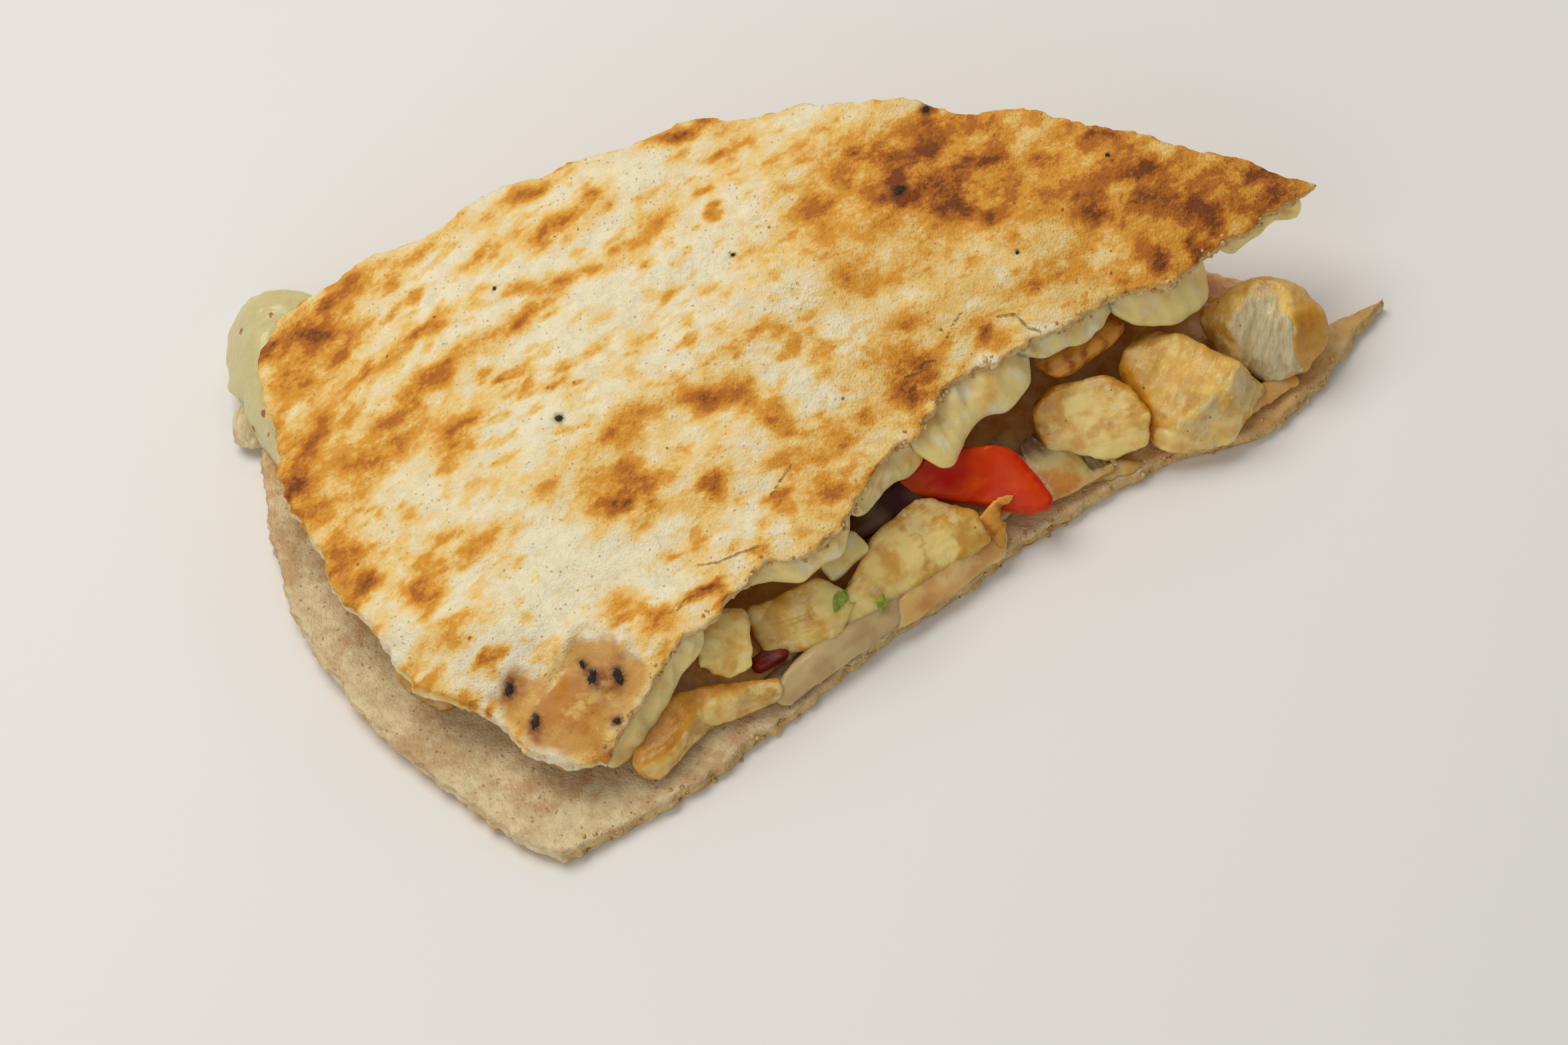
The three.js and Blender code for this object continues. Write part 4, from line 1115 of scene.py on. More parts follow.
# Places are measured from the tip of the lower layer. A piece with hulls is the joined hulls of its corners.
# Any other is a block between six uneven sides. Its size is its length, width and height, and turn is its
# heading, pitch and roll in degrees. sharp tells how crisp its edges are, and bend how far its ends rise.
# Each of its cuts is a direction with how far out the cut is, as a share of the half size.
# seared tells how brown a piece is, and tones how brown it is on the sides that look in some directions.
# fibres is their heading and tilt in degrees. coats are places under a film of melted cheese, each with how
# far it reaches. blunt is over how many millimetres the corners are rounded off, where that isn't as MESHING
# says. red and glazed are 1 on red onion and on onion under a glaze.
CHICKEN = {
    "chicken_tip_cube": dict(
        hulls=[[
            (-12.4, -4.6, 11.5), (-9.8, -5.2, 11.6), (-9.2, -8.8, 9.8), (-9.2, -11.1, 6.4),
            (-14.4, -10.6, 6.4), (-15.3, -7.6, 9.8), (-18.6, -6.2, 7.6), (-17.8, -7.8, 4.8),
            (-15.6, -4.6, 9.8), (-12.0, -3.7, 10.8), (-8.4, -4.3, 9.8), (-5.8, -6.8, 8.0),
            (-5.4, -8.4, 5.6), (-7.9, -11.1, 3.8), (-11.6, -11.6, 3.0), (-16.0, -9.8, 2.8),
            (-14.0, -2.6, 3.0), (-7.0, -4.0, 2.8),
        ]],
        tones=[
            ((0.05, -0.7, 0.72), -0.35), ((-0.9, -0.3, 0.2), 0.1), ((-1, 0.25, 0.1), 0.6),
            ((0.9, -0.1, 0.4), 0.6), ((0, 0.4, 0.9), 0.25),
        ],
        seared=0.25, fibres=(72, 50),
    ),
    "chicken_wedge_cut": dict(
        hulls=[[
            (-20.7, -10.9, 11.0), (-26.4, -11.9, 9.5), (-14.6, -13.4, 9.6), (-15.4, -15.9, 8.6),
            (-20.4, -18.5, 6.2), (-20.6, -19.6, 3.2), (-23.3, -16.8, 7.0), (-22.2, -20.0, 3.2),
            (-11.8, -12.6, 3.4), (-15.2, -18.6, 2.3), (-20.0, -19.3, 2.3), (-27.0, -15.0, 2.4),
            (-18.0, -8.0, 4.0), (-24.0, -8.5, 8.0),
        ]],
        tones=[((-0.35, -0.5, 0.8), 0.3), ((0.55, -0.8, 0.2), 0.06), ((-0.9, -0.4, 0.1), 0.6)],
        seared=0.3, fibres=(60, 30),
        coats=[((-14.6, -17.4, 3.0), 3.2), ((-21.6, -19.6, 4.0), 2.2)],
    ),
    "chicken_browned_side": dict(
        hulls=[[
            (-33.2, -15.4, 9.0), (-28.1, -14.8, 10.1), (-25.0, -16.1, 9.1), (-23.3, -18.2, 7.5),
            (-23.7, -19.9, 4.5), (-29.1, -21.4, 2.8), (-33.4, -21.3, 2.8), (-35.5, -17.6, 7.5),
            (-35.0, -14.0, 3.0), (-24.0, -15.0, 2.6), (-27.0, -13.0, 5.0),
        ]],
        tones=[
            ((0.1, -0.3, 0.95), 0.3), ((0.8, -0.1, 0.6), 0.6), ((0.2, -0.95, 0.3), 0.22), ((-0.9, 0, 0.4), 1),
        ],
        seared=0.1, fibres=(20, 0),
        coats=[
            ((-31.0, -20.4, 4.0), 3.2), ((-27.4, -20.4, 3.9), 3.4),
            ((-24.6, -19.8, 4.4), 2.6), ((-30.2, -17.8, 7.8), 2.2),
        ],
    ),
    "chicken_long_strip": dict(
        hulls=[[
            (-50.8, -32.4, 8.0), (-46.4, -28.0, 8.5), (-40.6, -28.6, 6.9), (-39.1, -31.0, 4.3),
            (-45.8, -35.9, 3.0), (-54.4, -42.0, 3.0), (-55.8, -41.2, 4.0), (-53.0, -38.0, 7.0),
            (-42.0, -27.0, 3.0), (-52.0, -32.0, 3.0),
        ]],
        tones=[((-0.2, 0.0, 1.0), 0.2), ((0.5, -0.8, 0.4), 0.14), ((0.9, 0.1, 0.3), 0.5)],
        seared=0.2, fibres=(37, 0),
        coats=[((-49.0, -34.5, 6.6), 3.8), ((-44.5, -32.4, 5.8), 2.2), ((-52.6, -39.4, 4.6), 3.0)],
    ),
    "chicken_flat_golden": dict(
        hulls=[[
            (-63.4, -40.6, 7.8), (-56.3, -37.0, 8.4), (-53.3, -38.0, 7.0), (-55.6, -42.6, 4.0),
            (-58.1, -43.4, 3.5), (-61.5, -43.6, 4.0), (-62.9, -41.5, 6.0), (-55.0, -37.0, 3.5),
            (-62.0, -39.0, 3.2), (-52.2, -38.6, 6.0), (-53.8, -41.8, 3.7),
        ]],
        tones=[((-0.3, -0.2, 0.95), 0.32), ((0.3, -0.9, 0.3), 0.2), ((-0.9, 0.1, 0.4), 0.8)],
        seared=0.3, fibres=(20, 0),
        coats=[((-55.0, -39.0, 6.8), 2.4)],
    ),
    "chicken_hanging": dict(
        hulls=[[
            (-68.1, -45.1, 9.5), (-63.2, -42.6, 10.2), (-62.1, -45.8, 8.2), (-62.1, -46.9, 7.0),
            (-64.0, -47.9, 6.2), (-65.8, -47.6, 6.3), (-67.9, -47.1, 7.8), (-67.0, -42.0, 10.0),
            (-63.0, -41.0, 9.5), (-65.0, -43.0, 6.5),
        ]],
        tones=[((0.0, -0.6, -0.8), 0.4)],
        seared=0.12, fibres=(20, 40),
        coats=[((-65.0, -45.6, 8.6), 5.0)],
    ),
    "chicken_rim_strip": dict(
        hulls=[
            [
                (-74.3, -56.1, 5.2), (-73.4, -57.0, 4.8), (-71.0, -49.9, 6.8), (-69.0, -49.2, 6.9),
                (-67.3, -51.0, 5.6), (-70.0, -55.4, 5.2), (-71.6, -56.8, 2.5), (-74.0, -56.0, 3.0),
                (-66.8, -51.2, 2.7), (-71.0, -50.0, 3.0),
            ],
            [
                (-70.5, -49.4, 7.0), (-62.2, -47.4, 6.2), (-59.8, -46.8, 5.6), (-59.6, -47.9, 4.6),
                (-65.2, -49.6, 5.8), (-67.5, -51.0, 5.6), (-60.0, -48.0, 2.7), (-66.0, -51.0, 2.6),
                (-69.0, -49.0, 3.0), (-60.0, -46.0, 3.0),
            ],
        ],
        tones=[((0.0, 0.0, 1.0), 0.75), ((0.6, -0.8, 0.1), 0.12), ((-0.8, -0.6, 0.1), 0.5)],
        seared=0.5, fibres=(40, 0), blunt=0.32,
        coats=[((-65.6, -50.4, 4.8), 2.2)],
    ),
    "chicken_rim_bit": dict(
        hulls=[[
            (-115.6, -11.7, 3.2), (-116.4, -13.4, 2.8), (-116.3, -15.1, 2.4), (-115.4, -16.4, 1.6),
            (-113.2, -16.6, 1.6), (-112.4, -15.2, 2.6), (-114.6, -13.8, 3.6), (-115.8, -12.4, 0.8),
            (-115.8, -15.0, 0.6), (-111.0, -13.0, 1.4),
        ]],
        seared=-0.3, fibres=(80, 0),
    ),
    "chicken_back_first": dict(
        at=(-25.5, 0.9, 8.4), size=(12.6, 10, 11.4), turn=(8, 5, -4), seed=61, sharp=7, fibres=(0, 30),
        cuts=[(0, 0.95, 0.3, 0.8)], tones=[((0.0, 0.95, 0.3), -0.1)], seared=0.6,
    ),
    "chicken_back_second": dict(
        at=(-41.8, 3.3, 8.0), size=(15.8, 9.6, 10.8), turn=(-3, -4, 5), seed=67, sharp=7, fibres=(0, 0),
        cuts=[(0.1, 0.9, 0.4, 0.8)], tones=[((0.1, 0.9, 0.4), 0.15)], seared=0.5,
    ),
    "chicken_back_third": dict(
        at=(-60.0, 3.2, 9.0), size=(14.4, 10.2, 12.6), turn=(-8, 6, 0), seed=73, sharp=7, fibres=(0, 50),
        cuts=[(-0.1, 0.95, 0.3, 0.8)], tones=[((-0.1, 0.95, 0.3), -0.15)], seared=0.6,
    ),
    "chicken_back_fourth": dict(
        at=(-77.4, 1.0, 9.8), size=(15, 8.6, 7), turn=(-12, -8, 0), seed=83, sharp=7, fibres=(0, 0),
        tones=[((0.2, 0.9, 0.0), 0.3)], seared=0.6,
    ),
}
PEPPERS = {
    "pepper_red_strip": dict(
        hulls=[
            [
                (-49.4, -26.8, 8.0), (-45.5, -24.1, 10.0), (-44.0, -23.4, 10.1), (-38.1, -22.8, 9.6),
                (-39.7, -27.5, 6.0), (-41.6, -27.2, 6.4), (-46.9, -27.2, 7.2), (-48.0, -25.0, 6.6),
                (-44.0, -22.6, 7.6), (-38.3, -22.2, 7.2), (-40.4, -26.0, 4.0),
            ],
            [
                (-38.1, -22.8, 9.6), (-36.5, -23.3, 8.6), (-33.2, -26.9, 6.5), (-33.2, -28.1, 6.0),
                (-35.4, -28.2, 5.0), (-39.7, -27.5, 6.0), (-38.3, -22.2, 7.0), (-33.6, -25.6, 4.2),
                (-35.4, -27.0, 3.4), (-39.9, -26.4, 3.9),
            ],
        ],
        fibres=(25, 0),
    ),
    # The chip is dark as painted shade, where it lies under the hanging chicken.
    "pepper_red_chip": dict(
        at=(-61.2, -43.8, 3.9), size=(3.8, 1.8, 1.1), turn=(36, 0, 10), seed=59, sharp=5,
        fibres=(0, 0), dark=True,
    ),
    "pepper_red_back": dict(
        at=(-47.5, 4.6, 16.0), size=(16, 6.4, 2.8), turn=(-2, 4, -24), seed=71, sharp=7, bend=-0.014,
        fibres=(0, 0),
    ),
}
ONIONS = {
    "onion_pale_strip": dict(
        hulls=[[
            (-60.6, -47.6, 3.8), (-59.7, -49.2, 2.2), (-56.9, -46.6, 2.1), (-52.3, -42.6, 2.1),
            (-46.8, -38.2, 2.1), (-45.6, -36.4, 3.2), (-48.4, -36.9, 4.4), (-52.4, -39.6, 4.6),
            (-56.1, -42.8, 4.6), (-59.6, -46.0, 4.4), (-60.6, -46.4, 2.4), (-47.2, -35.0, 3.2),
            (-58.0, -42.8, 3.2),
        ]],
        red=0.0, glazed=0.05, fibres=(38, 0), blunt=0.6,
    ),
    "onion_red_slice": dict(
        at=(-50.2, -28.0, 7.0), size=(9, 5.0, 2.6), turn=(30, 0, 24), seed=43, sharp=4, bend=-0.03,
        red=0.9, glazed=0.0, fibres=(0, 0),
    ),
    "onion_glazed_shred": dict(
        hulls=[
            [
                (-41.5, -29.9, 5.8), (-41.2, -30.3, 4.9), (-38.8, -27.2, 7.4), (-37.7, -28.0, 6.8),
                (-39.5, -30.7, 4.6), (-40.6, -29.0, 6.6), (-39.0, -28.8, 5.4),
            ],
            [
                (-38.9, -27.2, 7.4), (-35.9, -26.3, 7.7), (-36.4, -27.2, 7.2), (-37.2, -28.4, 6.6),
                (-37.8, -27.6, 6.4), (-38.6, -28.0, 6.9),
            ],
            [
                (-39.8, -30.4, 4.6), (-38.6, -31.3, 3.1), (-37.7, -30.9, 3.1), (-37.4, -28.6, 5.8),
                (-38.8, -28.8, 5.8), (-38.6, -30.2, 3.4),
            ],
        ],
        red=0.0, glazed=1.2, fibres=(58, 20),
    ),
    "onion_browned_strip": dict(
        at=(-30.2, -11.8, 11.0), size=(10, 4.4, 3), turn=(36, 8, 10), seed=53, sharp=3, bend=-0.02,
        red=0.0, glazed=1.6, fibres=(0, 0),
    ),
    "onion_back_strip": dict(
        at=(-76.6, 2.4, 4.0), size=(15, 5, 3), turn=(-8, 0, 8), seed=79, sharp=4,
        red=0.25, glazed=0.2, fibres=(0, 0),
    ),
}
# The lump of unmelted cheese.
CURD = [[
    (-56.0, -34.4, 9.5), (-52.9, -32.2, 10.0), (-51.1, -33.4, 9.0), (-50.8, -33.9, 8.0),
    (-54.8, -37.1, 7.5), (-56.4, -35.9, 8.5), (-55.0, -33.0, 6.5), (-52.0, -33.0, 6.5), (-54.5, -36.5, 6.0),
]]
# Cheese that has oozed out of the rim.
OOZE = [
    [
        (-110.1, -1.6, 8.6), (-113.0, -1.4, 8.6), (-116.0, -0.1, 6.0), (-116.9, -1.8, 4.6),
        (-117.2, -4.1, 4.0), (-117.4, -6.1, 3.2), (-112.5, -10.3, 8.4), (-111.1, -5.3, 8.8),
        (-113.2, -7.1, 8.6), (-116.4, -2.4, 1.6), (-116.6, -6.0, 1.6), (-108.0, -2.0, 2.0),
        (-106.0, -8.0, 2.0), (-106.0, -2.0, 7.6),
    ],
    [
        (-117.0, -4.4, 4.4), (-116.3, -7.5, 4.0), (-117.3, -10.1, 2.6), (-115.9, -11.4, 3.0),
        (-111.7, -14.4, 8.0), (-112.5, -10.0, 8.4), (-113.8, -6.9, 8.4), (-116.6, -9.6, 1.5),
        (-108.0, -8.0, 2.0), (-107.0, -14.0, 2.4),
    ],
    [
        (-115.7, -11.5, 4.0), (-114.8, -14.0, 3.2), (-112.5, -17.7, 2.6), (-110.3, -21.5, 2.8),
        (-109.2, -23.0, 6.0), (-110.4, -17.4, 8.0), (-112.3, -13.0, 8.0), (-114.6, -13.6, 1.8),
        (-106.0, -14.0, 2.4), (-105.0, -22.0, 3.0),
    ],
]
# Cheese that has run out over the lower layer's edge.
CHEESE_APRONS = [
    [
        (-33.6, -21.6, 2.9), (-29.0, -21.6, 2.9), (-24.6, -20.2, 2.8), (-22.6, -19.8, 2.2),
        (-24.4, -21.2, 2.0), (-30.0, -23.4, 2.0), (-35.8, -24.6, 2.0), (-37.0, -22.6, 2.6),
        (-34.0, -19.0, 2.2), (-24.0, -18.0, 2.2),
    ],
    [
        (-9.0, -10.6, 3.6), (-12.4, -12.0, 4.0), (-14.8, -13.8, 3.8), (-16.4, -18.4, 2.2),
        (-12.2, -15.8, 2.1), (-8.0, -12.4, 2.1), (-7.4, -10.6, 2.2), (-10.0, -9.0, 2.2),
        (-15.0, -13.0, 2.2),
    ],
    [
        (-48.6, -37.4, 4.6), (-45.0, -34.6, 4.9), (-40.2, -30.8, 4.9), (-37.4, -28.8, 3.8),
        (-37.6, -31.2, 2.0), (-44.2, -36.8, 1.9), (-48.6, -40.2, 1.9), (-47.0, -34.0, 2.6),
        (-39.4, -28.5, 2.6),
    ],
]
# How each food is meshed: the size of its faces as a share of the setting, how many times it is smoothed, and
# over how many millimetres its corners are rounded off first.
MESHING = {
    "chicken": dict(faces=0.7, rounds=6, blunt=0.42),
    "pepper": dict(faces=0.6, rounds=6, blunt=0.4),
    "onion": dict(faces=0.6, rounds=5, blunt=0.3),
    "curd": dict(faces=0.6, rounds=3, blunt=0.5),
    "apron": dict(faces=0.7, rounds=4, blunt=0.7),
    "ooze": dict(faces=0.7, rounds=4, blunt=1.3),
}
BLOCK_BALL = 6  # how many times a block's ball is divided
BLOCK_DENTS = 0.05  # how deep a block's dents are, as a share of its size


def ball_mesh(name, subdivisions):
    mesh = bpy.data.meshes.new(name)
    shape = bmesh.new()
    bmesh.ops.create_icosphere(shape, subdivisions=subdivisions, radius=1)
    shape.to_mesh(mesh)
    shape.free()
    return mesh


def block_reach(directions, sharp, cuts, seed):
    """How far out a block's surface is along each direction. A higher sharp gives crisper edges."""
    chance = np.random.default_rng(seed)
    sides = np.concatenate([np.eye(3), -np.eye(3)])
    sides = sides + chance.uniform(-0.16, 0.16, sides.shape)
    reaches = chance.uniform(0.9, 1.04, 6)
    for *direction, share in cuts:
        sides = np.vstack([sides, direction])
        reaches = np.append(reaches, share)
    sides = sides / np.linalg.norm(sides, axis=1)[:, None]
    over = np.maximum(0, directions @ sides.T) / reaches
    return (over**sharp).sum(1) ** (-1 / sharp)


def block_mesh(name, piece):
    """A block of food in its place in the frame."""
    mesh = ball_mesh(name, BLOCK_BALL)
    directions = vertex_array(mesh)
    reach = block_reach(directions, piece["sharp"], piece.get("cuts", ()), piece["seed"])
    reach = reach * (1 + BLOCK_DENTS * noise_at(directions, 0.7, piece["seed"], 2))
    body = directions * reach[:, None] * np.array(piece["size"]) / 2
    body[:, 2] += piece.get("bend", 0) * body[:, 0] ** 2
    heading, pitch, roll = (math.radians(angle) for angle in piece["turn"])
    place = Matrix.Rotation(heading, 3, "Z") @ Matrix.Rotation(-pitch, 3, "Y") @ Matrix.Rotation(roll, 3, "X")
    move_vertices(mesh, body @ np.array(place).T + np.array(piece["at"]) + [*OFFSET, 0])
    return mesh


def hull_food(name, hulls, kind, settings, blunt=None):
    """The joined hulls of a food's corners, meshed and rounded as food of its kind."""
    meshing = MESHING[kind]
    voxel = settings.voxel * meshing["faces"]
    return blunted(hull_mesh(name, hulls), voxel, meshing["rounds"], blunt or meshing["blunt"])


def food_mesh(name, piece, kind, settings):
    """The mesh of a piece of filling. Stores along, whose x runs along its fibres."""
    turn, tilt = piece["fibres"]
    if "hulls" in piece:
        mesh = hull_food(name, piece["hulls"], kind, settings, piece.get("blunt"))
    else:
        mesh = block_mesh(name, piece)
        turn += piece["turn"][0]
    co = vertex_array(mesh)
    fibres = Matrix.Rotation(math.radians(tilt), 3, "Y") @ Matrix.Rotation(math.radians(-turn), 3, "Z")
    set_values(mesh, "along", (co - co.mean(0)) @ np.array(fibres).T)
    return mesh


def toned(mesh, piece):
    """How brown each vertex is, by the way it faces."""
    co = vertex_array(mesh)
    facing = normal_array(mesh)
    waver = 0.16 * noise_at(co, 1.6, 74, 2)
    brown = np.full(len(co), float(piece["seared"]))
    for direction, seared in piece.get("tones", ()):
        share = smoothstep(facing @ np.array(Vector(direction).normalized()) + waver, 0.45, 0.8)
        brown += share * (seared - brown)
    return brown


def along_array(mesh):
    """The values that food_mesh stored along a piece's fibres."""
    values = np.empty(len(mesh.vertices) * 3, np.float32)
    mesh.attributes["along"].data.foreach_get("vector", values)
    return values.reshape(-1, 3).astype(float)


def push_out(mesh, amount):
    """Moves each vertex out of the surface by its own amount."""
    move_vertices(mesh, vertex_array(mesh) + amount[:, None] * normal_array(mesh))


def build_chicken(settings):
    material = chicken_material(settings)
    for node, piece in CHICKEN.items():
        mesh = food_mesh(node, piece, "chicken", settings)
        co = vertex_array(mesh)
        brown = toned(mesh, piece)
        cut = 1 - smoothstep(brown, -0.1, 0.3)
        strands = 0.22 * noise_at(along_array(mesh) * [0.2, 1, 1], 0.8, 71, 2)
        lumps = 0.26 * noise_at(co, 2.6, 72, 3)
        fine = 0.04 * noise_at(co, 0.8, 75, 2)
        push_out(mesh, strands * (0.3 + 0.7 * cut) + lumps * (1 - 0.5 * cut) + fine)
        set_values(mesh, "seared", np.clip(brown + 0.2 * noise_at(co, 3, 73, 2), -0.4, 1.1))
        coated = np.zeros(len(co))
        for place, reach in piece.get("coats", ()):
            distance = np.linalg.norm(co - place - [*OFFSET, 0], axis=1)
            coated = np.maximum(coated, bell(distance, 0, reach))
        set_values(mesh, "coated", coated)
        finished_piece(node + "_meat", mesh, material, [node])


def build_peppers(settings):
    material = pepper_material(settings)
    # The chip's darker pepper is painted shade under the hanging chicken.
    dark = plain_food_material("Dark pepper", shade("pepper_shaded"), shade("pepper_shaded_light"), 0.3, 1.2)
    for node, piece in PEPPERS.items():
        mesh = food_mesh(node, piece, "pepper", settings)
        co = vertex_array(mesh)
        push_out(mesh, 0.1 * noise_at(along_array(mesh) * [0.4, 1, 1], 1.6, 82, 2))
        facing = normal_array(mesh) @ np.array([0.9, -0.3, 0.25])
        set_values(mesh, "skin", smoothstep(facing + 0.3 * noise_at(co, 2.5, 81), 0.45, 0.85))
        shown = dark if piece.get("dark") else material
        finished_piece(node + "_flesh", mesh, shown, [node])


def build_onions(settings):
    material = onion_material(settings)
    for node, piece in ONIONS.items():
        mesh = food_mesh(node, piece, "onion", settings)
        co = vertex_array(mesh)
        veins = 0.06 * noise_at(along_array(mesh) * [0.2, 1, 1], 1.1, 92, 2)
        push_out(mesh, veins + 0.24 * noise_at(co, 2.8, 93))
        patches = 0.5 + 0.5 * noise_at(co, 2.5, 91)
        for value in ("red", "glazed"):
            set_values(mesh, value, np.clip(piece[value] * (0.6 + 0.8 * patches), 0, 1))
        finished_piece(node + "_layer", mesh, material, [node])


# ------------------------------------------------------------------ small bits

# Burnt bits on the crust: where they lie in the frame, their size and how far they are turned.
CHAR_BITS = (
    (10.5, 26.5, 1.5, 1.1, 20), (13.0, 36.0, 0.9, 0.7, 70), (-23.0, 3.7, 0.9, 0.8, 0),
    (-6.0, 20.0, 0.5, 0.4, 0), (22.0, 20.5, 0.5, 0.4, 30), (31.0, 31.0, 0.5, 0.5, 0),
    (-30.0, 19.0, 0.6, 0.4, 30), (-20.3, -21.1, 1.0, 0.5, 130), (-19.3, -22.4, 2.0, 0.9, 110),
    (-16.7, -22.6, 1.8, 1.0, 115), (-16.9, -26.4, 0.8, 0.6, 0), (-24.9, -25.9, 1.6, 0.9, 95),
    (-27.5, -22.8, 1.5, 0.9, 80),
)
# Brown places round them: where each lies in the frame, and how far it reaches.
SINGED = (
    (10.5, 26.5, 1.1), (13.0, 36.0, 0.8), (-18.6, -22.6, 1.3), (-17.4, -23.1, 1.6), (-20.0, -21.5, 0.9),
    (-16.9, -26.4, 0.7), (-24.9, -26.8, 1.1), (-27.2, -22.5, 1.3), (-24.4, -29.6, 0.7), (-17.8, -29.2, 0.8),
)
# Green bits on the chicken: the corners of each, measured from the lower layer's tip.
GREEN_BITS = [
    [
        (-54.9, -38.4, 7.3), (-53.4, -37.9, 7.4), (-53.0, -38.9, 6.8), (-54.6, -40.2, 6.0),
        (-54.8, -39.0, 6.4), (-53.6, -39.0, 6.2),
    ],
    [(-50.8, -38.4, 5.6), (-49.8, -37.5, 6.1), (-49.3, -38.5, 5.2), (-50.2, -39.3, 4.6), (-50.0, -38.2, 4.8)],
]
GREEN_FACES = 0.14  # size of their mesh faces
CHAR_HALF_HEIGHT = 0.12  # before it is roughened
CHAR_SHARE = 0.35  # half a bit's other sizes, as a share of those listed, before it is roughened
# Crumbs that cling to the front cuts: how many to each, and how far down from the layer's top.
CRUMBS = (
    dict(layer=UPPER, top=upper_top, count=190, deep=1.5),
    dict(layer=LOWER, top=lower_top, count=230, deep=1.9),
)
CRUMB_SIZE = (0.1, 0.34)  # half the size of the smallest and of the largest
LOWEST_CRUMB = 0.02  # height at which their undersides are cut off


def charred_share(x, y):
    """1 where the crust is burnt under a bit of char, and 0 away from it."""
    ragged = 0.4 * noise_at(on_plane(x, y), 0.8, 44, 2)
    share = np.zeros_like(x)
    for bit_x, bit_y, length, width, turn in CHAR_BITS:
        along, across = turned(x - bit_x, y - bit_y, turn)
        reach = np.hypot(2 * along / length, 2 * across / width)
        share = np.maximum(share, 1 - smoothstep(reach + ragged, 0.6, 1.7))
    return share


def surface_point(crust, x, y):
    """The place on top of the crust at x and y, and the way it faces there."""
    hit, place, facing, _face = crust.ray_cast(Vector((x, y, 100)) / METRE, Vector((0, 0, -1)))
    if not hit:
        raise RuntimeError(f"no crust under {x}, {y}")
    return place * METRE, facing


def lump(fineness, half_size, depth, grain, seed, octaves=1):
    """The points and faces of a small lump, roughened by depth at a grain that is a share of its size."""
    ball = ball_mesh("lump", fineness)
    co = vertex_array(ball)
    co = co * (1 + depth * noise_at(co, grain, seed, octaves))[:, None] * half_size
    faces = [tuple(face.vertices) for face in ball.polygons]
    bpy.data.meshes.remove(ball)
    return co, faces


def build_bits(settings):
    crust = bpy.data.objects["upper_layer_crust"]
    char = plain_food_material("Char", settings.char, shade("char_light"), 0.72, 0.5)
    parts = []
    for i, (x, y, length, width, turn) in enumerate(CHAR_BITS):
        place, facing = surface_point(crust, x, y)
        half_size = [CHAR_SHARE * length, CHAR_SHARE * width, CHAR_HALF_HEIGHT]
        co, faces = lump(4, half_size, 0.7, 0.6, 120 + i, 3)
        stand = facing.to_track_quat("Z", "Y").to_matrix() @ Matrix.Rotation(math.radians(turn), 3, "Z")
        parts.append(((co @ np.array(stand).T + np.array(place)).tolist(), faces))
    finished_piece("char_bits", joined_mesh("char_bits", parts), char)
    herb = plain_food_material("Herb", settings.herb, shade("herb_light"), 0.3, 1.2)
    greens = softened(hull_mesh("green_bits", GREEN_BITS), GREEN_FACES, 2)
    finished_piece("green_bits", greens, herb)


def crumb_places(chance, layer, top, count, deep):
    """Places on a layer's front cut, more of them near its top. The highest lie further in."""
    t = chance.uniform(0.06, 0.99, count)
    s = np.zeros(count)
    down = deep * chance.uniform(0, 1, count) ** 1.4
    out = chance.uniform(-0.5, 0.3, count) - 0.3 * (down < 0.3)
    plan = plan_point(layer, s, t) + outwards_at(layer, "front") * out[:, None]
    return np.column_stack([plan, top(s, t, plan[:, 0], plan[:, 1]) - down]) + [*OFFSET, 0]


def build_crumbs(settings):
    """Crumbs that cling to the front cuts of both layers."""
    chance = np.random.default_rng(8)
    parts = []
    for crumbs in CRUMBS:
        for i, place in enumerate(crumb_places(chance, **crumbs)):
            half_size = chance.uniform(*CRUMB_SIZE) * chance.uniform(0.6, 1.2, 3)
            co, faces = lump(2, half_size, 0.5, 0.9, 200 + i)
            co = co + place
            co[:, 2] = np.maximum(co[:, 2], LOWEST_CRUMB)
            parts.append((co.tolist(), faces))
    material = plain_food_material("Crumbs", shade("crumb_toasted"), settings.crumb, 0.75, 0.9)
    finished_piece("edge_crumbs", joined_mesh("edge_crumbs", parts), material)


# ------------------------------------------------------------------ melted cheese

# Curtains of cheese that hang from the upper layer's cuts: which cut, where each starts and ends along it, as
# shares of its length, how far it hangs down and leans out past the cut at either end, how thick it is and
# how torn.
CURTAINS = (
    ("front", (0.02, 0.13), (1.6, 2.2), (0.0, 0.3), 1.8, 0.9),
    ("front", (0.145, 0.26), (5.4, 4.2), (1.5, 1.6), 3.0, 0.3),
    ("front", (0.245, 0.37), (3.4, 2.4), (0.3, 0.8), 1.8, 1.0),
    ("front", (0.35, 0.52), (5.0, 3.6), (2.0, 3.8), 3.0, 0.25),
    ("front", (0.50, 0.62), (4.8, 2.8), (0.9, 0.5), 2.2, 0.6),
    ("front", (0.615, 0.755), (2.4, 2.2), (0.6, 0.4), 2.6, 0.4),
    ("front", (0.81, 0.975), (2.8, 3.9), (0.5, 0.4), 2.6, 0.4),
    ("back", (0.08, 0.2), (2.6, 4.4), (-0.4, -0.2), 2.0, 1.0),
    ("back", (0.25, 0.46), (4.6, 2.8), (-0.6, 0.0), 2.2, 1.0),
    ("back", (0.5, 0.6), (2.4, 6.0), (-0.4, -0.4), 2.0, 1.0),
    ("back", (0.64, 0.8), (4.8, 2.6), (-0.2, -0.6), 2.2, 1.0),
    ("back", (0.83, 0.95), (3.0, 3.6), (-0.4, -0.4), 2.2, 0.8),
)
CURTAIN_STEP = 0.25  # length of their mesh faces along the cut
CURTAIN_ROUND = 44  # points round their section
CURTAIN_ROOT = 0.6  # how far they reach in behind the cut, and up into the upper layer
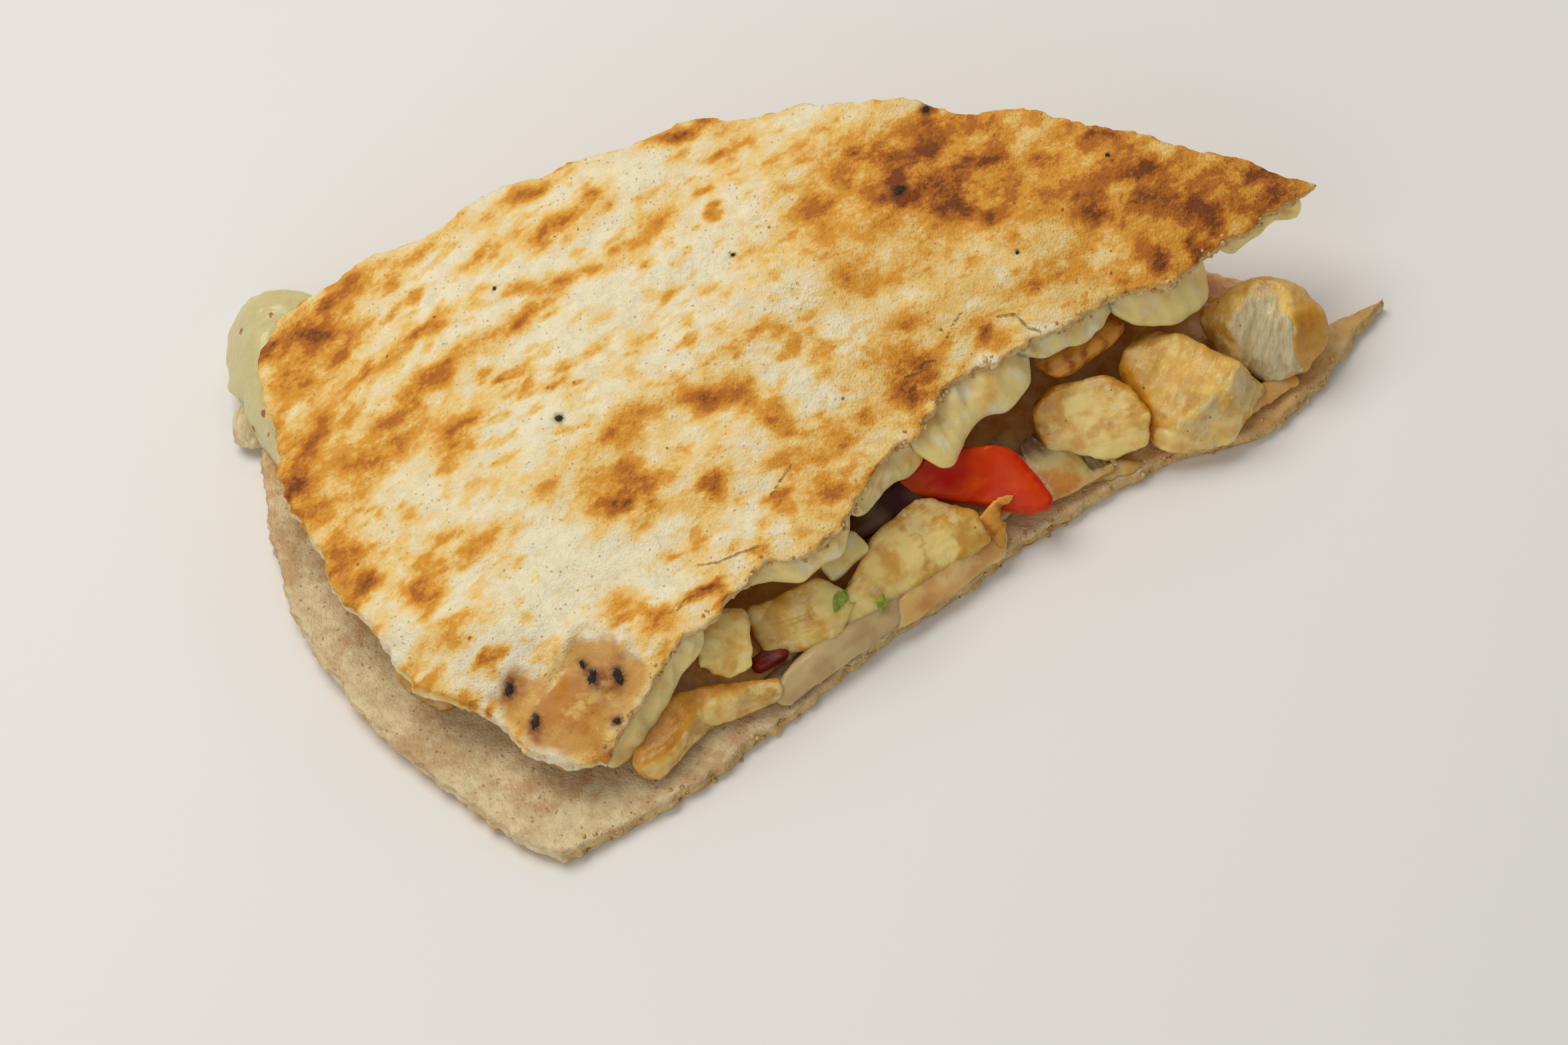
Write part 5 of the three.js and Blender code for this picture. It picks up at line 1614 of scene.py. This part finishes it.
# The melted cheese itself: its mesh faces as a share of the setting, how often it is smoothed and how far
# it swells.
MELTED = {"faces": 1.15, "rounds": 5, "swell": 0.3}
# It is drawn in behind the cuts, further in at the mouth beside the first pieces of chicken, and in from the
# rim. Each share tells how much of the way it goes.
DRAWN_IN = {"cut": 2.6, "mouth": 9, "cut_share": 0.8, "rim": -101, "rim_share": 0.8}


def curtain_mesh(side, span, drop, lean, thickness, torn, seed):
    """The points and faces of a sheet of melted cheese that hangs under a cut, with a torn lower edge."""
    length = UPPER[side][0]
    start, end = span
    across = max(24, int((end - start) * length / CURTAIN_STEP))
    around = CURTAIN_ROUND
    u = np.repeat(np.linspace(0, 1, across + 1), around)
    angle = np.tile(np.linspace(0, 2 * np.pi, around, endpoint=False), across + 1)
    t = start + (end - start) * u
    taper = np.maximum(1 - np.abs(2 * u - 1) ** 6, 0.02) ** 0.5
    along = on_plane(u * (end - start) * length, np.full_like(u, seed))
    ragged = 1 + torn * (0.36 * noise_at(along, 3.8, seed) + 0.1 * noise_at(along, 1.5, seed + 1))
    hang = (1 - np.cos(angle)) / 2
    behind = CURTAIN_ROOT + thickness / 2
    s = np.clip(behind / np.maximum(t * RIM_WIDTH, 3), 0, 0.4)
    if side == "back":
        s = 1 - s
    drop = (drop[0] + (drop[1] - drop[0]) * u) * taper * ragged
    lean = (behind + lean[0] + (lean[1] - lean[0]) * u) * taper * ragged
    slope = np.arctan2(drop, lean)
    body = thickness / 2 * taper * (1 - 0.5 * hang + 0.3 * hang**4) * np.sin(angle)
    folds = noise_at(along + [0, 0, 1] * hang[:, None] * 2.4, 1.9, seed + 2, 2)
    body += 0.9 * np.sin(np.pi * hang) * folds * (np.sin(angle) > 0) * taper
    out = body * np.sin(slope) + lean * hang**1.2
    plan = plan_point(UPPER, s, t) + outwards_at(UPPER, side) * out[:, None]
    top = upper_top(s, t, plan[:, 0], plan[:, 1]) - TORTILLA + CURTAIN_ROOT
    height = top + body * np.cos(slope) * hang**0.5 - (drop + CURTAIN_ROOT) * hang
    co = np.column_stack([plan, height]) + [*OFFSET, 0]
    faces = []
    for a in range(0, across * around, around):
        b = a + around
        for j in range(around):
            k = (j + 1) % around
            faces.append((a + j, b + j, b + k, a + k))
    faces.append(tuple(range(around)))
    faces.append(tuple(range(across * around + around - 1, across * around - 1, -1)))
    return co.tolist(), faces


def drawn_in(co):
    """The melted cheese's points, drawn in behind the curtains at the cuts and under the ooze at the rim."""
    x, y, z = co[:, 0] - OFFSET[0], co[:, 1] - OFFSET[1], co[:, 2]
    for side, outwards in (("front", 1), ("back", -1)):
        length, heading, bow_at = UPPER[side]
        angle = math.radians(heading)
        along, across = turned(x - UPPER["tip"][0], y - UPPER["tip"][1], heading)
        t = np.clip(along / length, 0, 1)
        depth = bow_at(t) - outwards * across
        limit = DRAWN_IN["cut"]
        if side == "front":
            mouth = smoothstep(t, 0.1, 0.16) * (1 - smoothstep(t, 0.33, 0.4)) * (1 - smoothstep(z, 12, 14.5))
            limit = limit + DRAWN_IN["mouth"] * mouth
        shift = np.where(depth < limit, (limit - depth) * DRAWN_IN["cut_share"], 0) * smoothstep(z, 3.4, 6.0)
        x = x + outwards * shift * math.sin(angle)
        y = y - outwards * shift * math.cos(angle)
    beyond_rim = np.minimum(0, x - DRAWN_IN["rim"])
    x = x - DRAWN_IN["rim_share"] * beyond_rim
    return np.column_stack([x, y, z]) + [*OFFSET, 0]


def all_curtains():
    """The curtains in one mesh, with their faces turned outwards."""
    parts = [curtain_mesh(*curtain, 110 + 7 * i) for i, curtain in enumerate(CURTAINS)]
    mesh = joined_mesh("curtains", parts)
    shape = bmesh.new()
    shape.from_mesh(mesh)
    bmesh.ops.recalc_face_normals(shape, faces=shape.faces)
    shape.to_mesh(mesh)
    shape.free()
    return mesh


def build_cheese(settings):
    material = cheese_material(settings)
    voxel = settings.voxel * MELTED["faces"]
    melted = softened(packed_copy("cheese_melted"), voxel, MELTED["rounds"], MELTED["swell"])
    move_vertices(melted, drawn_in(vertex_array(melted)))
    curd = hull_food("curd", CURD, "curd", settings)
    aprons = hull_food("aprons", CHEESE_APRONS, "apron", settings)
    ooze = hull_food("ooze", OOZE, "ooze", settings)
    # Each piece of cheese has how juicy it is all over, how much more so low down, and its node.
    for name, mesh, juicy, pooled, nodes in (
        ("cheese_melted_flow", melted, 0.25, 0.7, ["cheese_melted"]),
        ("cheese_curtains", all_curtains(), 0.05, 0.0, []),
        ("cheese_curd_lump", curd, 0.0, 0.0, ["cheese_curd"]),
        ("cheese_aprons", aprons, 0.8, 0.0, []),
        ("cheese_ooze", ooze, 0.0, 0.0, []),
    ):
        co = vertex_array(mesh)
        flow = 0.3 * noise_at(co * [1, 1, 0.6], 3.2, 101) + 0.12 * noise_at(co * [1, 1, 0.7], 1.3, 102)
        push_out(mesh, flow)
        # Towards the rim: browned flecks, and a darker, greener colour that is partly painted shade.
        set_values(mesh, "flecked", 1 - smoothstep(co[:, 0], -50, -44))
        soaking = juicy + pooled * (1 - smoothstep(co[:, 2], 4.5, 8.0))
        set_values(mesh, "juicy", np.clip(soaking * (1 + 0.4 * noise_at(co, 3, 103, 2)), 0, 1))
        finished_piece(name, mesh, material, nodes)


# ------------------------------------------------------------------ the two layers

# Hairline cracks in the crust: the corners of each, in the frame.
CRACKS = (
    ((15.0, 12.0), (15.5, 13.2), (16.5, 14.5)),
    ((20.0, 14.5), (21.6, 14.8), (23.0, 13.6), (24.4, 13.2)),
    ((11.0, 8.0), (12.2, 8.4), (12.8, 9.6), (14.0, 10.0)),
    ((-2.0, -5.0), (-1.2, -3.8), (0.0, -2.0)),
    ((-9.0, -12.0), (-7.0, -11.8), (-5.0, -10.6), (-3.0, -10.0)),
    ((-11.0, -17.0), (-10.2, -15.8), (-9.0, -15.0)),
)
NO_CRACK = 3.0  # the distance that is stored where no crack is near


def crack_distance(x, y):
    """How far each point is from the nearest crack, in millimetres."""
    nearest = np.full_like(x, NO_CRACK)
    for corners in CRACKS:
        for (x0, y0), (x1, y1) in zip(corners, corners[1:]):
            run_x, run_y = x1 - x0, y1 - y0
            along = ((x - x0) * run_x + (y - y0) * run_y) / (run_x**2 + run_y**2)
            along = np.clip(along, 0, 1)
            nearest = np.minimum(nearest, np.hypot(x - x0 - along * run_x, y - y0 - along * run_y))
    return nearest


def singed_share(x, y):
    """1 in the middle of a singed place, and 0 away from it."""
    share = np.zeros_like(x)
    for place_x, place_y, reach in SINGED:
        share = np.maximum(share, bell(np.hypot(x - place_x, y - place_y), 0, reach))
    return share


def layer_values(mesh, t, depth, toast, inner_up, torn=0.0):
    """Stores what the tortilla material reads. inner_up is true where the upper face is the inside."""
    on_edge = np.sin(np.pi * depth)
    inner = smoothstep(depth, 0.75, 1.0)
    if inner_up:
        inner = 1 - smoothstep(depth, 0.3, 0.8)
    set_values(mesh, "toast", np.clip(toast, 0, 1.2))
    set_values(mesh, "inner", inner)
    crumb = smoothstep(on_edge, 0.3, 0.8) * smoothstep(t, 0.0, 0.04) * (t < 0.999)
    set_values(mesh, "crumb", np.maximum(crumb, torn))


def build_upper_layer(settings):
    faces_at = upper_faces(settings)
    mesh, s, t, depth = layer_mesh("upper", UPPER, settings.upper_rows, faces_at, settings.raggedness)
    co = vertex_array(mesh)
    x, y = co[:, 0], co[:, 1]
    toast = crust_toast(x, y) + rim_toast(s, t, x, y)
    outside = 1 - smoothstep(depth, 0.3, 0.8)
    torn = torn_share(x, y)
    layer_values(mesh, t, depth, toast * outside, False, torn * outside)
    from_edge = np.minimum(s * t * RIM_WIDTH, (1 - t) * SIDE_LENGTH)
    soaked = soaked_share(x, y) * smoothstep(from_edge + 0.6 * noise_at(co, 1.5, 43, 2), 0, 1.4)
    set_values(mesh, "soaked", soaked * (1 - torn) * (1 - smoothstep(depth, 0.5, 1.0)))
    set_values(mesh, "crack", crack_distance(x, y))
    set_values(mesh, "singed", singed_share(x, y) * outside)
    set_values(mesh, "charred", charred_share(x, y) * outside)
    material = tortilla_material("Upper tortilla", settings)
    finished_piece("upper_layer_crust", mesh, material, ["tortilla_upper"])


def build_lower_layer(settings):
    faces_at = lower_faces(settings)
    mesh, s, t, depth = layer_mesh("lower", LOWER, settings.lower_rows, faces_at, settings.raggedness)
    co = vertex_array(mesh)
    points = on_plane(co[:, 0], co[:, 1])
    toast = 0.55 * smoothstep(noise_at(points, 6, 37, 2), -0.1, 0.5)
    toast = toast + 0.3 * smoothstep(noise_at(points, 2.4, 38), 0, 0.6)
    toast = np.maximum(toast, 0.3 * smoothstep(t, 0.97, 1.0)) * smoothstep(depth, 0.5, 1.0)
    layer_values(mesh, t, depth, toast, True)
    inwards = np.minimum(s, 1 - s) * t * RIM_WIDTH
    # The inside is darker away from the cuts and the rim, under the filling: partly a juice stain, partly
    # painted shade.
    stained = smoothstep(inwards + 1.5 * noise_at(points, 3, 64, 2), 4, 9) * (1 - smoothstep(t, 0.84, 0.92))
    by_tip = (0.7 + 0.5 * noise_at(points, 2.5, 65, 2)) * (1 - smoothstep(t, 0.3, 0.5))
    set_values(mesh, "tinted", np.clip(by_tip, 0, 1))
    set_values(mesh, "stained", stained)
    set_values(mesh, "crack", np.full(len(co), NO_CRACK))
    material = tortilla_material("Lower tortilla", settings)
    finished_piece("lower_layer_crust", mesh, material, ["tortilla_lower"])


# ------------------------------------------------------------------ stage

CAMERA_PLACE = (40.77, -356.36, 544.32)
AIM = (-1.5, -1.5, 6.0)
CAMERA_UP = (0.01959367, 0.81624159, 0.57737834)
SENSOR_WIDTH = 36
NEAREST_SEEN = 0.01  # metres from the camera
FLOOR_HALF = 1.5  # half the floor's width, in metres
WARM = (1.0, 0.965, 0.9)
NEUTRAL = (1.0, 0.98, 0.95)
SKY = {"colour": (0.98, 0.98, 1.0, 1), "strength": 0.26}


def add_light(name, place, aim, size, power, colour):
    """A round soft light. Its place and aim are in millimetres, and its size is in metres."""
    light = bpy.data.lights.new(name, "AREA")
    light.shape = "DISK"
    light.size = size
    light.energy = power
    light.color = colour
    lamp = bpy.data.objects.new(name, light)
    lamp.location = Vector(place) / METRE
    lamp.rotation_euler = (Vector(aim) - Vector(place)).to_track_quat("-Z", "Y").to_euler()
    bpy.context.scene.collection.objects.link(lamp)


def add_camera(settings):
    data = bpy.data.cameras.new("Camera")
    data.lens = settings.lens
    data.sensor_width = SENSOR_WIDTH
    data.clip_start = NEAREST_SEEN
    camera = bpy.data.objects.new("Camera", data)
    forward = (Vector(AIM) - Vector(CAMERA_PLACE)).normalized()
    right = forward.cross(Vector(CAMERA_UP)).normalized()
    up = right.cross(forward)
    turn = Matrix((right, up, -forward)).transposed()
    camera.matrix_world = Matrix.Translation(Vector(CAMERA_PLACE) / METRE) @ turn.to_4x4()
    bpy.context.scene.collection.objects.link(camera)
    bpy.context.scene.camera = camera


def build_stage(settings):
    half = FLOOR_HALF
    corners = [(-half, -half, 0), (half, -half, 0), (half, half, 0), (-half, half, 0)]
    mesh = joined_mesh("floor", [(corners, [(0, 1, 2, 3)])])
    mesh.materials.append(floor_material(settings))
    floor = bpy.data.objects.new("floor", mesh)
    bpy.context.scene.collection.objects.link(floor)
    add_light("Key", (-200, 120, 540), (0, 0, 5), 0.42, settings.key, WARM)
    add_light("Fill", (-200, -430, 330), (0, 0, 5), 0.6, settings.fill, NEUTRAL)
    add_light("Back", (120, 480, 340), (0, 0, 10), 0.5, settings.fill / 2, NEUTRAL)
    world = bpy.data.worlds.new("World")
    world.use_nodes = True
    background = world.node_tree.nodes["Background"]
    background.inputs["Color"].default_value = SKY["colour"]
    background.inputs["Strength"].default_value = SKY["strength"]
    scene = bpy.context.scene
    scene.world = world
    scene.view_settings.view_transform = "Standard"
    scene.view_settings.look = "None"
    add_camera(settings)


# ------------------------------------------------------------------ the add-on


class QUESADILLA_OT_upper_layer(bpy.types.Operator):
    """Build the toasted upper layer with its torn front cut"""

    bl_idname = "quesadilla.upper_layer"
    bl_label = "Upper layer"

    def execute(self, context):
        build_upper_layer(context.scene.quesadilla_tortilla)
        return {"FINISHED"}


class QUESADILLA_OT_lower_layer(bpy.types.Operator):
    """Build the lower layer, whose bare inside shows along the rim"""

    bl_idname = "quesadilla.lower_layer"
    bl_label = "Lower layer"

    def execute(self, context):
        build_lower_layer(context.scene.quesadilla_tortilla)
        return {"FINISHED"}


class QUESADILLA_OT_cheese(bpy.types.Operator):
    """Build the melted cheese and the curd"""

    bl_idname = "quesadilla.cheese"
    bl_label = "Cheese"

    def execute(self, context):
        build_cheese(context.scene.quesadilla_filling)
        return {"FINISHED"}


class QUESADILLA_OT_chicken(bpy.types.Operator):
    """Build the diced chicken"""

    bl_idname = "quesadilla.chicken"
    bl_label = "Chicken"

    def execute(self, context):
        build_chicken(context.scene.quesadilla_filling)
        return {"FINISHED"}


class QUESADILLA_OT_peppers(bpy.types.Operator):
    """Build the strips of red pepper"""

    bl_idname = "quesadilla.peppers"
    bl_label = "Red pepper"

    def execute(self, context):
        build_peppers(context.scene.quesadilla_filling)
        return {"FINISHED"}


class QUESADILLA_OT_onions(bpy.types.Operator):
    """Build the strips of onion"""

    bl_idname = "quesadilla.onions"
    bl_label = "Onion"

    def execute(self, context):
        build_onions(context.scene.quesadilla_filling)
        return {"FINISHED"}


class QUESADILLA_OT_bits(bpy.types.Operator):
    """Build the burnt bits on the crust and the green bits on the chicken"""

    bl_idname = "quesadilla.bits"
    bl_label = "Small bits"

    def execute(self, context):
        build_bits(context.scene.quesadilla_filling)
        return {"FINISHED"}


class QUESADILLA_OT_crumbs(bpy.types.Operator):
    """Build the crumbs that cling to the front cuts"""

    bl_idname = "quesadilla.crumbs"
    bl_label = "Crumbs"

    def execute(self, context):
        build_crumbs(context.scene.quesadilla_tortilla)
        return {"FINISHED"}


class QUESADILLA_OT_stage(bpy.types.Operator):
    """Build the floor, the light and the camera"""

    bl_idname = "quesadilla.stage"
    bl_label = "Stage"

    def execute(self, context):
        build_stage(context.scene.quesadilla_stage)
        return {"FINISHED"}


OPERATORS = (
    QUESADILLA_OT_upper_layer,
    QUESADILLA_OT_lower_layer,
    QUESADILLA_OT_cheese,
    QUESADILLA_OT_chicken,
    QUESADILLA_OT_peppers,
    QUESADILLA_OT_onions,
    QUESADILLA_OT_bits,
    QUESADILLA_OT_crumbs,
    QUESADILLA_OT_stage,
)
SETTINGS = {
    "quesadilla_tortilla": TortillaSettings,
    "quesadilla_filling": FillingSettings,
    "quesadilla_stage": StageSettings,
}


class QUESADILLA_PT_panel(bpy.types.Panel):
    """Lists the pieces of the wedge and their settings"""

    bl_label = "Quesadilla wedge"
    bl_idname = "QUESADILLA_PT_panel"
    bl_space_type = "VIEW_3D"
    bl_region_type = "UI"
    bl_category = "Quesadilla"

    def draw(self, context):
        for operator in OPERATORS:
            self.layout.operator(operator.bl_idname)
        for name, group in SETTINGS.items():
            box = self.layout.box()
            for setting in group.__annotations__:
                box.prop(getattr(context.scene, name), setting)


def register():
    for group in SETTINGS.values():
        bpy.utils.register_class(group)
    for operator in OPERATORS:
        bpy.utils.register_class(operator)
    bpy.utils.register_class(QUESADILLA_PT_panel)
    for name, group in SETTINGS.items():
        setattr(bpy.types.Scene, name, bpy.props.PointerProperty(type=group))


def unregister():
    for name in SETTINGS:
        delattr(bpy.types.Scene, name)
    bpy.utils.unregister_class(QUESADILLA_PT_panel)
    for operator in reversed(OPERATORS):
        bpy.utils.unregister_class(operator)
    for group in reversed(SETTINGS.values()):
        bpy.utils.unregister_class(group)


def main():
    register()
    for build_group in GROUPS:
        build_group()
    bpy.ops.quesadilla.upper_layer()
    bpy.ops.quesadilla.lower_layer()
    bpy.ops.quesadilla.cheese()
    bpy.ops.quesadilla.chicken()
    bpy.ops.quesadilla.peppers()
    bpy.ops.quesadilla.onions()
    bpy.ops.quesadilla.bits()
    bpy.ops.quesadilla.crumbs()
    bpy.ops.quesadilla.stage()


if __name__ == "__main__":
    main()
